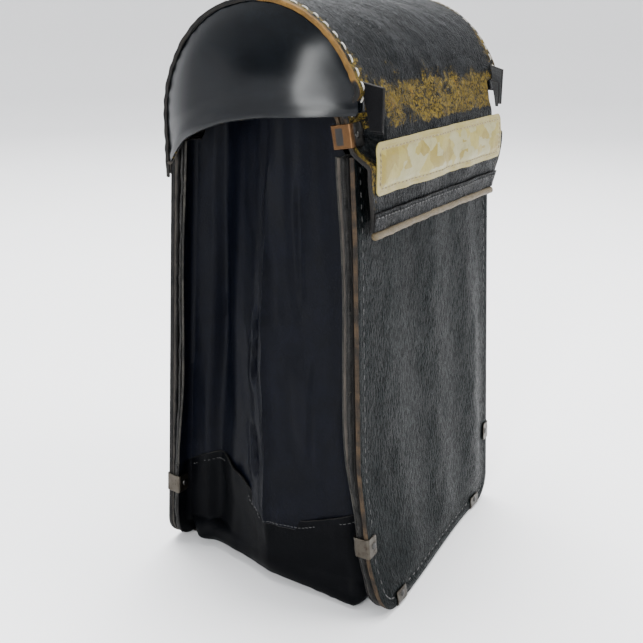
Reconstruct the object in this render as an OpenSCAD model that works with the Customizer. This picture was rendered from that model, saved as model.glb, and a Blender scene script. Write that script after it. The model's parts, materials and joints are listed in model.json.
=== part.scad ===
// Leather mail bag: a stiff box body of two panels and a folded bellows gusset,
// closed by an arched lid that is sewn to the back and bends there.
// Millimetres, +Z up, front towards -Y, origin on the floor under the middle of the bag.

/* [Body] */
// Width of the front and back panels
bag_w = 250; // [230:1:270]
// Depth over the two panels at the floor
base_d = 222; // [218:1:226]
// Height of the panels, measured along the leather
panel_h = 382; // [376:1:382]
// Angle that each panel leans inwards
lean = 3.8; // [3.5:0.05:3.9]
// Radius of the lower corners of the panels
corner_r = 24; // [20:1:30]

/* [Leather] */
// Thickness of the front and back panels
panel_t = 4; // [3:0.5:5]
// Thickness of the welt between panel and gusset
welt_t = 6; // [5:0.5:7]
// Width of the welt
welt_w = 12; // [10:1:13]
// Thickness of the gusset and the boot
gusset_t = 2; // [1.5:0.1:2.4]
// Thickness of the lid leather
lid_t = 3.5; // [3:0.5:4]

/* [Bellows] */
// How far the middle ridge stands out round the lower corner
foot_out = 5; // [2:1:7]
// How far the rear valley folds in
valley_in = 32; // [20:1:34]
// How far the gussets' mouth rises in the middle, under the lid
mouth_rise = 38; // [30:1:40]
// Height of the boot, measured along the leather
boot_h = 84; // [82:1:96]

/* [Lid] */
// Width of the lid over the leather
lid_w = 252; // [252:1:256]
// Inner radius of the arch
arch_r = 89.5; // [88.5:0.5:90.5]
// Height of the arch's centre above the floor
arch_z = 401; // [400:1:403]
// Outward bulge of each ear at the middle
ear_bulge = 28; // [20:1:32]
// Thickness of the ear leather
ear_t = 2.4; // [2:0.2:3]

/* [Label] */
// Length of the label patch
label_l = 237; // [200:1:240]
// Corner radius of the label patch
label_r = 6; // [2:1:8]

/* [Fittings] */
// Width of the metal strip of each clip
clip_w = 17.5; // [14:0.5:18]
// Thickness of the metal strip
clip_t = 1.2; // [0.8:0.1:1.4]
// Length of a clip's legs
clip_leg = 11.5; // [10:0.5:11.5]
// Radius of the rivet shanks
rivet_r = 1.5; // [1:0.1:1.8]
// Pitch of the stitches
stitch_pitch = 9; // [8:0.5:12]

/* [Hidden] */
$fn = 72;

gap = 0.1;                                   // hairline between sewn layers
half_w = bag_w / 2;
welt_y = panel_t + gap;                      // depth of the welt below the panel's face
flange_y = welt_y + welt_t + gap + gusset_t / 2;
stack_t = flange_y + gusset_t / 2;           // panel, welt and flange together
flange_in = 15;                              // inward reach of the gusset's flanges

// Path round the left half of the U seam: down the side, round the corner, to the middle of the base
edge_up = 1.6;                               // height of the panels' lower edges above the floor
side_len = panel_h - corner_r;
arc_len = corner_r * PI / 2;
half_len = side_len + arc_len + half_w - corner_r;
boot_s = panel_h - boot_h;

// Position and outward direction at distance s along the seam, [x, up, out_x, out_up]
function left_path(s) =
    s < side_len ? [-half_w, panel_h - s, -1, 0] :
    s < side_len + arc_len
        ? let (a = (s - side_len) / corner_r * 180 / PI)
          [corner_r - half_w - corner_r * cos(a), corner_r - corner_r * sin(a), -cos(a), -sin(a)] :
    [s - side_len - arc_len + corner_r - half_w, 0, 0, -1];
function seam_path(s) =
    s <= half_len ? left_path(s)
                  : let (p = left_path(2 * half_len - s)) [-p[0], p[1], -p[2], p[3]];

// Bellows: outward offset of the sheet's fold lines at distance s of the seam.
// On the base the sheet is flat, and round the corner it stays above the floor.
function from_mouth(s) = min(s, 2 * half_len - s);
base_s = side_len + arc_len;
flat_out = edge_up - gusset_t / 2;
function floor_out(s) =
    let (a = (from_mouth(s) - side_len) / corner_r * 180 / PI)
    a <= 20 ? 99 : (corner_r + edge_up) / sin(min(a, 90)) - corner_r - gusset_t / 2;
function fold_out(s, line) = min(floor_out(s), lookup(from_mouth(s), concat(line, [[base_s, flat_out]])));
function ridge_out(s) =
    fold_out(s, [[0, -12], [panel_h - 240, 5], [boot_s, 3], [side_len, 4],
                 [side_len + arc_len / 2, foot_out]]);
function valley_out(s) =
    fold_out(s, [[0, -28], [panel_h - 240, -valley_in], [side_len, 8 - valley_in],
                 [side_len + arc_len / 2, -8]]);
function front_out(s) = fold_out(s, [[0, -15], [side_len, -6], [side_len + arc_len / 2, 7]]);
function back_out(s) = fold_out(s, [[0, -22], [side_len, -18], [side_len + arc_len / 2, -2]]);
function ease(t) = t * t * (3 - 2 * t);
// Outward offset across the depth, f = 0 at the front flange and 1 at the back flange
function fold(f, s) =
    let (knots = [[0, -flange_in - 2], [0.1, front_out(s)], [0.46, ridge_out(s)],
                  [0.68, (ridge_out(s) + valley_out(s)) / 2], [0.84, valley_out(s)],
                  [0.9, back_out(s)], [1, -flange_in - 2]],
         k = max([for (i = [0:len(knots) - 2]) if (f >= knots[i][0]) i]),
         t = (f - knots[k][0]) / (knots[k + 1][0] - knots[k][0]))
    knots[k][1] + (knots[k + 1][1] - knots[k][1]) * ease(t);
// Extra height of the mouth in the middle of each side
function rise(f, s) =
    mouth_rise * max(0, 1 - from_mouth(s) / 60) * ease(min(1, max(0, min(f, 1 - f) * 12 - 0.4)));

// Half the depth between the flanges' middle planes at height up
function half_gap(up) = base_d / 2 - flange_y * cos(lean) - up * sin(lean);
// Middle line of the sheet in one section, [across, out]
function section_line(s) =
    let (a = 2 * half_gap(seam_path(s)[1]), m = 22)
    concat([[0, -0.6], [0, -7], [0, -flange_in + 1]],
           [for (i = [1:m - 1]) [a * i / m, fold(i / m, s)]],
           [[a, -flange_in + 1], [a, -7], [a, -0.6]]);
function side_normal(line, i) =
    let (d = line[min(i + 1, len(line) - 1)] - line[max(i - 1, 0)])
    [d[1], -d[0]] / norm(d);
// Closed outline of the sheet in one section
function section_ring(s) =
    let (line = section_line(s), n = len(line), h = gusset_t / 2)
    concat([for (i = [0:n - 1]) line[i] - side_normal(line, i) * h],
           [for (i = [n - 1:-1:0]) line[i] + side_normal(line, i) * h]);
// A section point in the bag's own axes
function in_bag(q, s) =
    let (p = seam_path(s), f = q[0] / 2 / half_gap(p[1]), up = p[1] + q[1] * p[3] + rise(f, s))
    [p[0] + q[1] * p[2], half_gap(up) * (2 * f - 1), up * cos(lean) + edge_up];

hinge_z = 360;                               // height of the line about which the lid bends

// Arch of the lid and the curve of its front flap, in the Y-Z plane
arch_y = base_d / 2 - (hinge_z - 2) * sin(lean) - arch_r + 0.5;
arch_out = arch_r + lid_t;
flap_a = 160;                                // where the flap leaves the arch
flap_z = 327;                                // lower edge of the flap
flap_taper = 12;                             // how far each side of the flap draws in at its lower edge
taper_z = 368;
hinge_y = arch_y + arch_out + 1.4;
flap_from = [arch_y + arch_out * cos(flap_a), arch_z + arch_out * sin(flap_a)];
flap_ctrl = [flap_from, flap_from + 37.5 * [-sin(flap_a), cos(flap_a)],
             [-104, 366], [-97, flap_z]];
function bezier(p, t) =
    (1 - t) ^ 3 * p[0] + 3 * (1 - t) ^ 2 * t * p[1] + 3 * (1 - t) * t ^ 2 * p[2] + t ^ 3 * p[3];
function flap_dir(t) = let (d = bezier(flap_ctrl, t + 0.001) - bezier(flap_ctrl, t - 0.001)) d / norm(d);
// Point of the flap at t, raised by off from the outer face
function flap_point(t, off) = let (d = flap_dir(t)) bezier(flap_ctrl, t) + off * [d[1], -d[0]];
function arch_point(a, r) = [arch_y + r * cos(a), arch_z + r * sin(a)];
label_t0 = 0.37;
label_t1 = 0.745;
hem_t0 = 0.86;
fold_t = 1.2;                                // thickness of the label and of the hem

rivet_in = 7;                                // rivets' distance from the seam's edge
// Distances along the seam of the four clips of a panel: the left side clip sits lower than the right one
left_clip_s = panel_h - 63;
left_base_s = base_s + 10;
right_base_s = 2 * half_len - left_base_s;
right_clip_s = 2 * half_len - panel_h + 72;
clip_places = [left_clip_s, left_base_s, right_base_s, right_clip_s];
lid_clip_tilt = -10;
lid_clip_pos = [-lid_w / 2, -76.5, 398];
lid_clip_d = 15;                             // depth over the lid clips
chape_x = 115.5;

// ---------- placing ----------
// Panel axes: x across, y into the bag from the panel's face, z up the leather
module on_front() {
    translate([0, -base_d / 2, flange_y * sin(lean) + edge_up]) rotate([-lean, 0, 0]) children();
}
module on_back() {
    mirror([0, 1, 0]) on_front() children();
}
module plate(depth, t) {
    translate([0, depth + t, 0]) rotate([90, 0, 0]) linear_extrude(t) children();
}
module along_x(x0, x1) {
    translate([x0, 0, 0]) rotate([90, 0, 90]) linear_extrude(x1 - x0) children();
}
// Children at distance s of the seam, with -X pointing out of the seam
module at_seam(s) {
    p = seam_path(s);
    translate([p[0], 0, p[1]]) rotate([0, -atan2(-p[3], -p[2]), 0]) children();
}

// ---------- outlines ----------
module bag_outline(inset, top) {
    reach = half_w - inset;
    translate([-reach, corner_r]) square([2 * reach, top - corner_r]);
    translate([corner_r - half_w, inset]) square([2 * (half_w - corner_r), corner_r - inset + 1]);
    for (side = [-1, 1]) translate([side * (half_w - corner_r), corner_r]) circle(corner_r - inset);
}
module rivet_holes(depth, t) {
    for (s = clip_places)
        at_seam(s) translate([rivet_in, depth - 1, 0]) rotate([-90, 0, 0])
            cylinder(r = rivet_r + 0.1, h = t + 2);
}

// ---------- body ----------
module panel() {
    difference() {
        plate(0, panel_t) bag_outline(0, panel_h);
        rivet_holes(0, panel_t);
    }
}
module front_panel() { color("#26282b") on_front() panel(); }
module back_panel() { color("#26282b") on_back() panel(); }

module welt() {
    difference() {
        plate(welt_y, welt_t) difference() {
            bag_outline(0.5, panel_h);
            bag_outline(welt_w, panel_h + 1);
        }
        rivet_holes(welt_y, welt_t);
    }
}
module front_welt() { color("#6b5238") on_front() welt(); }
module back_welt() { color("#6b5238") on_back() welt(); }

// Sheet of the bellows between distances s0 and s1 of the seam
module bellows_sheet(s0, s1, rows) {
    rings = [for (j = [0:rows])
             let (s = s0 + (s1 - s0) * j / rows) [for (q = section_ring(s)) in_bag(q, s)]];
    n = len(rings[0]);
    h = n / 2;
    walls = [for (j = [0:rows - 1], i = [0:n - 1])
             let (a = j * n + i, b = j * n + (i + 1) % n)
             each [[a, b, a + n], [b, b + n, a + n]]];
    ends = [for (i = [0:h - 2]) each
            [[i, n - 1 - i, i + 1], [i + 1, n - 1 - i, n - 2 - i],
             [rows * n + i, rows * n + i + 1, rows * n + n - 1 - i],
             [rows * n + i + 1, rows * n + n - 2 - i, rows * n + n - 1 - i]]];
    polyhedron(points = [for (r = rings) each r], faces = concat(walls, ends), convexity = 8);
}
module left_gusset() { color("#15181d") bellows_sheet(0, boot_s - 0.2, 14); }
module right_gusset() { color("#15181d") mirror([1, 0, 0]) left_gusset(); }
module boot() { color("#1b1d22") bellows_sheet(boot_s + 0.2, 2 * half_len - boot_s - 0.2, 44); }

// Strip of the lid leather that is sewn down on the back panel, below the bend
strip_top = hinge_z - edge_up - 1.6;
strip_h = 43;
module hinge_strip() {
    color("#222427") on_back()
        plate(-lid_t - gap, lid_t) translate([-half_w, strip_top - strip_h]) square([bag_w, strip_h]);
}

// ---------- stitches ----------
stitch_l = 5.4;
stitch_w = 0.9;
stitch_h = 0.6;
module stitch() { cube([stitch_w, stitch_h, stitch_l], center = true); }
module seam_stitches() {
    count = floor((2 * half_len - 20) / stitch_pitch);
    for (i = [0:count])
        at_seam(10 + i * (2 * half_len - 20) / count)
            translate([9, -stitch_h / 2 - 0.02, 0]) stitch();
}
module front_seam_stitches() { color("#8d8878") on_front() clear_of_clips() seam_stitches(); }
module back_seam_stitches() {
    color("#8d8878") on_back() difference() {
        clear_of_clips() seam_stitches();
        translate([-half_w, -4, strip_top - strip_h - 4]) cube([bag_w, 8, panel_h]);
    }
}
// Leaves out the stitches that lie under the clips
module clear_of_clips() {
    difference() {
        children();
        for (s = clip_places)
            at_seam(s) translate([-2, -4, -clip_w / 2 - stitch_l])
                cube([clip_leg + 8, 8, clip_w + 2 * stitch_l]);
    }
}
module hinge_stitches() {
    count = 25;
    color("#8d8878") on_back()
        for (up = [strip_top - 8, strip_top - strip_h + 8], i = [0:count])
            translate([-half_w + 12 + i * (bag_w - 24) / count, -lid_t - gap - stitch_h / 2 - 0.02, up])
                rotate([0, 90, 0]) stitch();
}

// ---------- clips ----------
// U-shaped clip round a stack of thickness d, legs towards +X, centred on z = 0
module clip(d, leg) {
    difference() {
        translate([-clip_t - gap, -clip_t - gap, -clip_w / 2])
            cube([leg + clip_t, d + 2 * clip_t + 2 * gap, clip_w]);
        translate([-gap, -gap, -clip_w / 2 - 1]) cube([leg + 1, d + 2 * gap, clip_w + 2]);
        translate([rivet_in, -clip_t - 1, 0]) rotate([-90, 0, 0])
            cylinder(r = rivet_r + 0.1, h = d + 2 * clip_t + 2);
    }
}
module rivet(d) {
    head = 0.9;
    translate([rivet_in, -clip_t - gap - 0.02, 0]) rotate([-90, 0, 0]) {
        cylinder(r = rivet_r, h = d + 2 * clip_t + 2 * gap + 0.04);
        translate([0, 0, -head]) cylinder(r1 = 2.2, r2 = 3, h = head);
        translate([0, 0, d + 2 * clip_t + 2 * gap + 0.04]) cylinder(r1 = 3, r2 = 2.2, h = head);
    }
}
module seam_clip(s) { at_seam(s) clip(stack_t, clip_leg); }
module nickel() { color("#8f8b82") children(); }
module front_left_clip() { nickel() on_front() seam_clip(left_clip_s); }
module front_right_clip() { nickel() on_front() seam_clip(right_clip_s); }
module front_left_base_clip() { nickel() on_front() seam_clip(left_base_s); }
module front_right_base_clip() { nickel() on_front() seam_clip(right_base_s); }
module back_left_clip() { nickel() on_back() seam_clip(left_clip_s); }
module back_right_clip() { nickel() on_back() seam_clip(right_clip_s); }
module back_left_base_clip() { nickel() on_back() seam_clip(left_base_s); }
module back_right_base_clip() { nickel() on_back() seam_clip(right_base_s); }
module seam_rivets() {
    for (s = clip_places) at_seam(s) rivet(stack_t);
}
module front_clip_rivets() { color("#5d5a55") on_front() seam_rivets(); }
module back_clip_rivets() { color("#5d5a55") on_back() seam_rivets(); }

// ---------- lid ----------
module cover_profile(out, in) {
    steps = 24;
    polygon(concat(
        [[arch_y + arch_r + out, hinge_z + 0.3]],
        [for (i = [0:steps + 16]) arch_point(flap_a * i / (steps + 16), arch_r + out)],
        [for (i = [1:steps]) flap_point(i / steps, out - lid_t)],
        [for (i = [steps:-1:1]) flap_point(i / steps, in - lid_t)],
        [for (i = [steps + 16:-1:0]) arch_point(flap_a * i / (steps + 16), arch_r + in)],
        [[arch_y + arch_r + in, hinge_z + 0.3]]));
}
module lid_cover() {
    reach = lid_w / 2;
    color("#2b2a26") difference() {
        along_x(-reach, reach) cover_profile(lid_t, 0);
        for (side = [0, 1]) mirror([side, 0, 0])
            translate([0, -80, 0]) rotate([90, 0, 0]) linear_extrude(40)
                polygon([[reach + 1, taper_z], [reach, taper_z], [reach - flap_taper, flap_z - 1],
                         [reach + 1, flap_z - 1]]);
    }
}

// Ring sewn against each end of the arch
module left_arch_welt() {
    color("#8a6428") along_x(-lid_w / 2 - 2, -lid_w / 2 - gap) difference() {
        cover_profile(lid_t, 0.1);
        translate([-160, 0]) square([160, 412]);
    }
}
module right_arch_welt() { mirror([1, 0, 0]) left_arch_welt(); }

// Dome profile of an ear: x is the distance from the arch's axis, y the bulge
dome_r = (arch_r ^ 2 + ear_bulge ^ 2) / (2 * ear_bulge);
module dome_arc() {
    intersection() {
        difference() {
            translate([0, ear_bulge - dome_r]) circle(dome_r, $fn = 180);
            translate([0, ear_bulge - dome_r]) circle(dome_r - ear_t, $fn = 180);
        }
        translate([-arch_r + 0.2, -ear_t]) square([2 * arch_r - 0.4, ear_bulge + 2 * ear_t]);
    }
}
flange_r = arch_r - 0.2;
module ear_solid() {
    // upper half: turned about the arch's axis, with a flange that lies under the cover
    translate([-lid_w / 2, arch_y, arch_z]) rotate([0, -90, 0]) rotate([0, 0, -90])
    rotate_extrude(angle = 180) {
        intersection() {
            dome_arc();
            square([arch_r, 2 * ear_bulge]);
        }
        translate([flange_r - ear_t, -flange_in]) square([ear_t, flange_in + 1]);
    }
    // lower rear lobe: the same section carried straight down
    translate([-lid_w / 2, arch_y, hinge_z]) mirror([1, 0, 0]) rotate([0, 0, -90])
    linear_extrude(arch_z - hinge_z + 0.01)
        mirror([1, 0]) intersection() {
            dome_arc();
            translate([-arch_r, 0]) square([2 * arch_r, 2 * ear_bulge]);
        }
}
// What is left of the ear above its lower edge, in the Y-Z plane
module ear_keep() {
    polygon([[-110, 415], [-60, 411.5], [-22, 410.5], [9, 405], [57, 388], [74, 374], [89.5, hinge_z + 1.5],
             [110, hinge_z + 1.5], [110, 520], [-110, 520]]);
}
// Thick folded corner that the lid clip grips
module ear_corner() {
    along_x(-lid_w / 2, -lid_w / 2 + clip_leg + 1) {
        translate([lid_clip_pos[1], lid_clip_pos[2]]) rotate(lid_clip_tilt)
            translate([-lid_clip_d / 2, -clip_w / 2]) square([lid_clip_d, clip_w + 4]);
        polygon([[-81.5, 409.5], [-70, 405], [-82, 422], [-87, 424],
                 arch_point(171, flange_r - 1), [-83.5, 411]]);
    }
}
module left_ear() {
    color("#17191c") difference() {
        union() {
            intersection() {
                ear_solid();
                along_x(-lid_w / 2 - 2 * ear_bulge, -lid_w / 2 + 2 * flange_in) ear_keep();
            }
            ear_corner();
        }
        lid_clip_place() translate([rivet_in, -1, 0]) rotate([-90, 0, 0])
            cylinder(r = rivet_r + 0.1, h = lid_clip_d + 2);
    }
}
module right_ear() { mirror([1, 0, 0]) left_ear(); }

module lid_clip_place() {
    translate(lid_clip_pos) rotate([lid_clip_tilt, 0, 0]) translate([0, -lid_clip_d / 2, 0]) children();
}
module left_lid_clip() { color("#8a6a4a") lid_clip_place() clip(lid_clip_d, clip_leg); }
module right_lid_clip() { mirror([1, 0, 0]) left_lid_clip(); }
module lid_clip_rivets() {
    color("#5d5a55") for (side = [0, 1]) mirror([side, 0, 0]) lid_clip_place() rivet(lid_clip_d);
}

module left_arch_stitches() {
    count = floor(arch_out * flap_a * PI / 180 / stitch_pitch);
    color("#d9d5c8") {
        for (i = [0:count]) let (a = flap_a * i / count, p = arch_point(a, arch_out + stitch_h / 2 + 0.02))
            translate([-lid_w / 2 + 6, p[0], p[1]]) rotate([a - 90, 0, 0])
                cube([stitch_w, stitch_l, stitch_h], center = true);
        for (i = [1:3])
            translate([-lid_w / 2 + 6, arch_y + arch_out + stitch_h / 2 + 0.02, arch_z - i * stitch_pitch])
                cube([stitch_w, stitch_h, stitch_l], center = true);
    }
}
module right_arch_stitches() { mirror([1, 0, 0]) left_arch_stitches(); }

// A band that lies on the flap between t0 and t1
module flap_band(t0, t1, low, high) {
    steps = 12;
    polygon(concat([for (i = [0:steps]) flap_point(t0 + (t1 - t0) * i / steps, high)],
                   [for (i = [steps:-1:0]) flap_point(t0 + (t1 - t0) * i / steps, low)]));
}
module label_patch() {
    z0 = flap_point(label_t1, 0)[1];
    z1 = flap_point(label_t0, 0)[1];
    color("#d8d0a0") intersection() {
        along_x(-label_l / 2, label_l / 2) flap_band(label_t0, label_t1, gap / 2, fold_t);
        translate([0, -80, 0]) rotate([90, 0, 0]) linear_extrude(40)
            for (x = [-1, 1], z = [z0 + label_r, z1 - label_r]) {
                translate([x * (label_l / 2 - label_r), z]) circle(label_r);
                square_between([-label_l / 2 + label_r, z0 - 1], [label_l / 2 - label_r, z1 + 1]);
                square_between([-label_l / 2, z0 + label_r], [label_l / 2, z1 - label_r]);
            }
    }
}
module square_between(a, b) { translate(a) square(b - a); }

// A stitch on the flap at t, turned by turn from the upright
module flap_stitch(x, t, off, turn) {
    p = flap_point(t, off + stitch_h / 2 + 0.02);
    d = flap_dir(t);
    translate([x, p[0], p[1]]) rotate([atan2(-d[0], -d[1]) * -1, 0, 0]) rotate([0, turn, 0]) stitch();
}
module label_stitches() {
    rows = 26;
    edge = 5;
    color("#b9ae7e") {
        for (t = [label_t0 + 0.045, label_t1 - 0.05], i = [0:rows])
            flap_stitch(-label_l / 2 + 10 + i * (label_l - 20) / rows, t, fold_t, 90);
        for (side = [-1, 1], i = [1:4])
            flap_stitch(side * (label_l / 2 - edge), label_t0 + (label_t1 - label_t0) * i / 5, fold_t, 0);
    }
}
module flap_hem() {
    reach = lid_w / 2 - flap_taper;
    color("#232529") along_x(-reach, reach) flap_band(hem_t0, 1, gap / 2, fold_t);
}
piping_r = 2.7;
module flap_piping() {
    p = flap_ctrl[3];
    reach = lid_w / 2 - flap_taper;
    color("#b39c78") translate([-reach, p[0] + lid_t / 2, p[1] - piping_r - 0.3])
        rotate([0, 90, 0]) cylinder(r = piping_r, h = 2 * reach);
}

// Leather tab that stands out of the arch seam at the front, with a short second leaf
module chape_profile(reach, z0, z1, r) {
    square_between([-92 - reach, z0], [-80, z1 - r]);
    square_between([-92 - reach + r, z0], [-80, z1]);
    translate([-92 - reach + r, z1 - r]) circle(r);
}
module chape_leaf(x, t, reach, z0, z1, r) {
    difference() {
        along_x(x, x + t) chape_profile(reach, z0, z1, r);
        along_x(x - 1, x + t + 1) {
            cover_profile(lid_t + gap, -30);
        }
    }
}
module left_strap_chape() {
    color("#111216") {
        chape_leaf(-chape_x - 1.5, 3, 13.5, 402, 437, 6);
        chape_leaf(-chape_x + 1.5, 2, 15.5, 400, 420, 2);
    }
}
module right_strap_chape() { mirror([1, 0, 0]) left_strap_chape(); }

front_panel();
back_panel();
front_welt();
back_welt();
left_gusset();
right_gusset();
boot();
hinge_strip();
front_seam_stitches();
back_seam_stitches();
hinge_stitches();
front_left_clip();
front_right_clip();
front_left_base_clip();
front_right_base_clip();
back_left_clip();
back_right_clip();
back_left_base_clip();
back_right_base_clip();
front_clip_rivets();
back_clip_rivets();
lid_cover();
left_ear();
right_ear();
left_arch_welt();
right_arch_welt();
left_arch_stitches();
right_arch_stitches();
label_patch();
label_stitches();
flap_hem();
flap_piping();
left_lid_clip();
right_lid_clip();
lid_clip_rivets();
left_strap_chape();
right_strap_chape();
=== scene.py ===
"""Looks of the leather mail bag, in metres: +Z up, front towards -Y, floor at z = 0.

The CAD model gives every place and size. Each visible piece is a leather, metal or thread mesh
that stands for one or more CAD nodes and rides on their body.
"""

import json
import math

import bpy
import numpy as np
from mathutils import Matrix, Vector


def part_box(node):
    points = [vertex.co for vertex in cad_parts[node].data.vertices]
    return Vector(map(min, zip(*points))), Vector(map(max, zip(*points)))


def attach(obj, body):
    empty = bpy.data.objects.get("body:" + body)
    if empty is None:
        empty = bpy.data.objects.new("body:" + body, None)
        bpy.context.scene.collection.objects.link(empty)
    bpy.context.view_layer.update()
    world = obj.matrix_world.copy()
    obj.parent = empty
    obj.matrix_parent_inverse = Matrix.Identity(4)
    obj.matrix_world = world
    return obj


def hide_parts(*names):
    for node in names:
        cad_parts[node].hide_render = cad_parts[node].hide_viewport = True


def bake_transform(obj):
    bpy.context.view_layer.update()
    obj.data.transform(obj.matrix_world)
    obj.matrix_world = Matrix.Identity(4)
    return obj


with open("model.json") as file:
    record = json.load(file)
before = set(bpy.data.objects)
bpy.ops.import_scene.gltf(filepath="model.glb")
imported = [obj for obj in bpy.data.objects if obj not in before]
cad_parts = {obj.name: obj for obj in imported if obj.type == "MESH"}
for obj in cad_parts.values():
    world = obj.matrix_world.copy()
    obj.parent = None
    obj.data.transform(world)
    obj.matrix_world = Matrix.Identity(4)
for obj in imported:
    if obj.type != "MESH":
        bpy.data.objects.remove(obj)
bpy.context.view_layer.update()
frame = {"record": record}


# ---------- sizes of the CAD model ----------
PANEL_LOW, PANEL_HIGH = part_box("front_panel")
LID_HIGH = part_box("lid_cover")[1]
HINGE = Vector(frame["record"]["behaviour"]["joints"][0]["pos_m"])
HALF_W = PANEL_HIGH[0]
BASE_D = -2 * PANEL_LOW[1]
PANEL_H = 0.382
LEAN = math.radians(3.8)
CORNER_R = 0.024
PANEL_T = 0.004
WELT_T = 0.006
GUSSET_T = 0.002
LID_T = 0.0035
GAP = 0.0001
EDGE_UP = 0.0016
WELT_DEPTH = PANEL_T + GAP
FLANGE_DEPTH = WELT_DEPTH + WELT_T + GAP + GUSSET_T / 2
STACK_T = FLANGE_DEPTH + GUSSET_T / 2
LIFT = FLANGE_DEPTH * math.sin(LEAN) + EDGE_UP

# U seam: down one side, round the corners and along the base
SIDE_LEN = PANEL_H - CORNER_R
ARC_LEN = CORNER_R * math.pi / 2
HALF_LEN = SIDE_LEN + ARC_LEN + HALF_W - CORNER_R
BASE_S = SIDE_LEN + ARC_LEN
BOOT_S = PANEL_H - 0.084
MOUTH_RISE = 0.038
STITCH_IN = 0.009
STITCH_PITCH = 0.009

# Lid: arch, flap and the strip on the back panel
HALF_LID = LID_HIGH[0]
ARCH_OUT = 0.093
ARCH_Y = LID_HIGH[1] - ARCH_OUT
ARCH_Z = LID_HIGH[2] - ARCH_OUT
EAR_R = ARCH_OUT - LID_T - 0.0002
FLAP_ANGLE = math.radians(160)
FLAP_END = (-0.097, 0.327)
FLAP_MID = (-0.104, 0.366)
FLAP_PULL = 0.0375
FLAP_TAPER = 0.012
STRIP_TOP = HINGE.z - EDGE_UP - 0.0016
STRIP_H = 0.043
EAR_BULGE = 0.028
EAR_T = 0.0024

# Clips
CLIP_W = 0.0175
CLIP_T = 0.0012
CLIP_LEG = 0.0115
RIVET_IN = 0.007
RIVET_R, RIVET_RISE = 0.0029, 0.0011
CLIP_LEFT_S = PANEL_H - 0.063
CLIP_BASE_S = BASE_S + 0.010
CLIP_RIGHT_S = 2 * HALF_LEN - PANEL_H + 0.072
CLIP_PLACES = (CLIP_LEFT_S, CLIP_BASE_S, 2 * HALF_LEN - CLIP_BASE_S, CLIP_RIGHT_S)
LID_CLIP_D = 0.015
LID_CLIP_LEG = 0.0150
LID_CLIP_TILT = math.radians(-10)
LID_CLIP_Y, LID_CLIP_Z = -0.0765, 0.398


# ---------- small mathematics ----------
def smooth(t):
    t = np.clip(t, 0, 1)
    return t * t * (3 - 2 * t)


def bell(x, width):
    return np.exp(-((x / width) ** 2))


def waves(x, y, size, seed, count=7):
    """Soft undulation of about -1 to 1 with crests about size apart. A seed always gives the same one."""
    rng = np.random.default_rng(seed)
    total = 0.0
    for _ in range(count):
        turn = rng.uniform(0, 2 * math.pi)
        pitch = size * rng.uniform(0.7, 1.5)
        phase = rng.uniform(0, 2 * math.pi)
        total = total + np.sin(2 * math.pi * (x * math.cos(turn) + y * math.sin(turn)) / pitch + phase)
    return total / math.sqrt(count)


def spread(low, high, count, edge=0.0012):
    """count steps from low to high, with one more step close to each end to keep the edges crisp."""
    inner = np.linspace(low, high, count)
    near = edge if high > low else -edge
    return np.concatenate([[low, low + near], inner[1:-1], [high - near, high]])


def stacked(*parts):
    return np.stack(np.broadcast_arrays(*parts), axis=-1)


def unit(v):
    return v / np.maximum(np.linalg.norm(v, axis=-1, keepdims=True), 1e-12)


def circle(count):
    """count angles once round, from 0."""
    return np.linspace(0, 2 * math.pi, count + 1)[:-1]


def lengths(points):
    """Distance along a path from its first point to each of its points."""
    return np.concatenate([[0], np.cumsum(np.linalg.norm(np.diff(points, axis=0), axis=1))])


def squared(angle, wide, tall):
    """Cosine and sine of an angle, whose round the powers wide and tall push out towards a square."""
    c, q = math.cos(angle), math.sin(angle)
    return math.copysign(abs(c) ** wide, c), math.copysign(abs(q) ** tall, q)


def darker(colour, share):
    return tuple(c * share for c in colour)


def tube(rows, count, turned=False):
    """Faces of a tube of rings with count points each, then the loops of its first and last ring."""
    index = np.arange(rows * count).reshape(rows, count)
    after = np.roll(index, -1, axis=1)
    quads = stacked(index[:-1], after[:-1], after[1:], index[1:]).reshape(-1, 4)
    if turned:
        quads = quads[:, [0, 3, 2, 1]]
    return quads.tolist(), index[0].tolist(), index[-1].tolist()


def tangents(surface, u, v, step=2e-4):
    """Point, the two unit directions and the outward normal of a surface at (u, v)."""
    along_u = unit(surface(u + step, v) - surface(u - step, v))
    along_v = unit(surface(u, v + step) - surface(u, v - step))
    return surface(u, v), along_u, along_v, unit(np.cross(along_u, along_v))


# The front panel has bowed: its left edge leans in at a waist above the clip and kicks out at the foot
FOOT_OUT, FOOT_TOP = 0.0122, 0.064
WAIST_IN, WAIST_LOW, WAIST_AT, WAIST_TOP = 0.0048, 0.060, 0.140, 0.320


def bowed(points):
    """Points of the body moved with the bow of the front left edge, which fades to the right and back."""
    x, y, z = points.T
    below_waist = smooth((z - WAIST_LOW) / (WAIST_AT - WAIST_LOW))
    above_waist = np.clip((WAIST_TOP - z) / (WAIST_TOP - WAIST_AT), 0, 1)
    push = WAIST_IN * np.minimum(below_waist, above_waist) - FOOT_OUT * (1 - smooth(z / FOOT_TOP))
    return points + stacked(0 * x, push * smooth((0.09 - x) / 0.2) * smooth((-y - 0.03) / 0.06), 0 * x)


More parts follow.
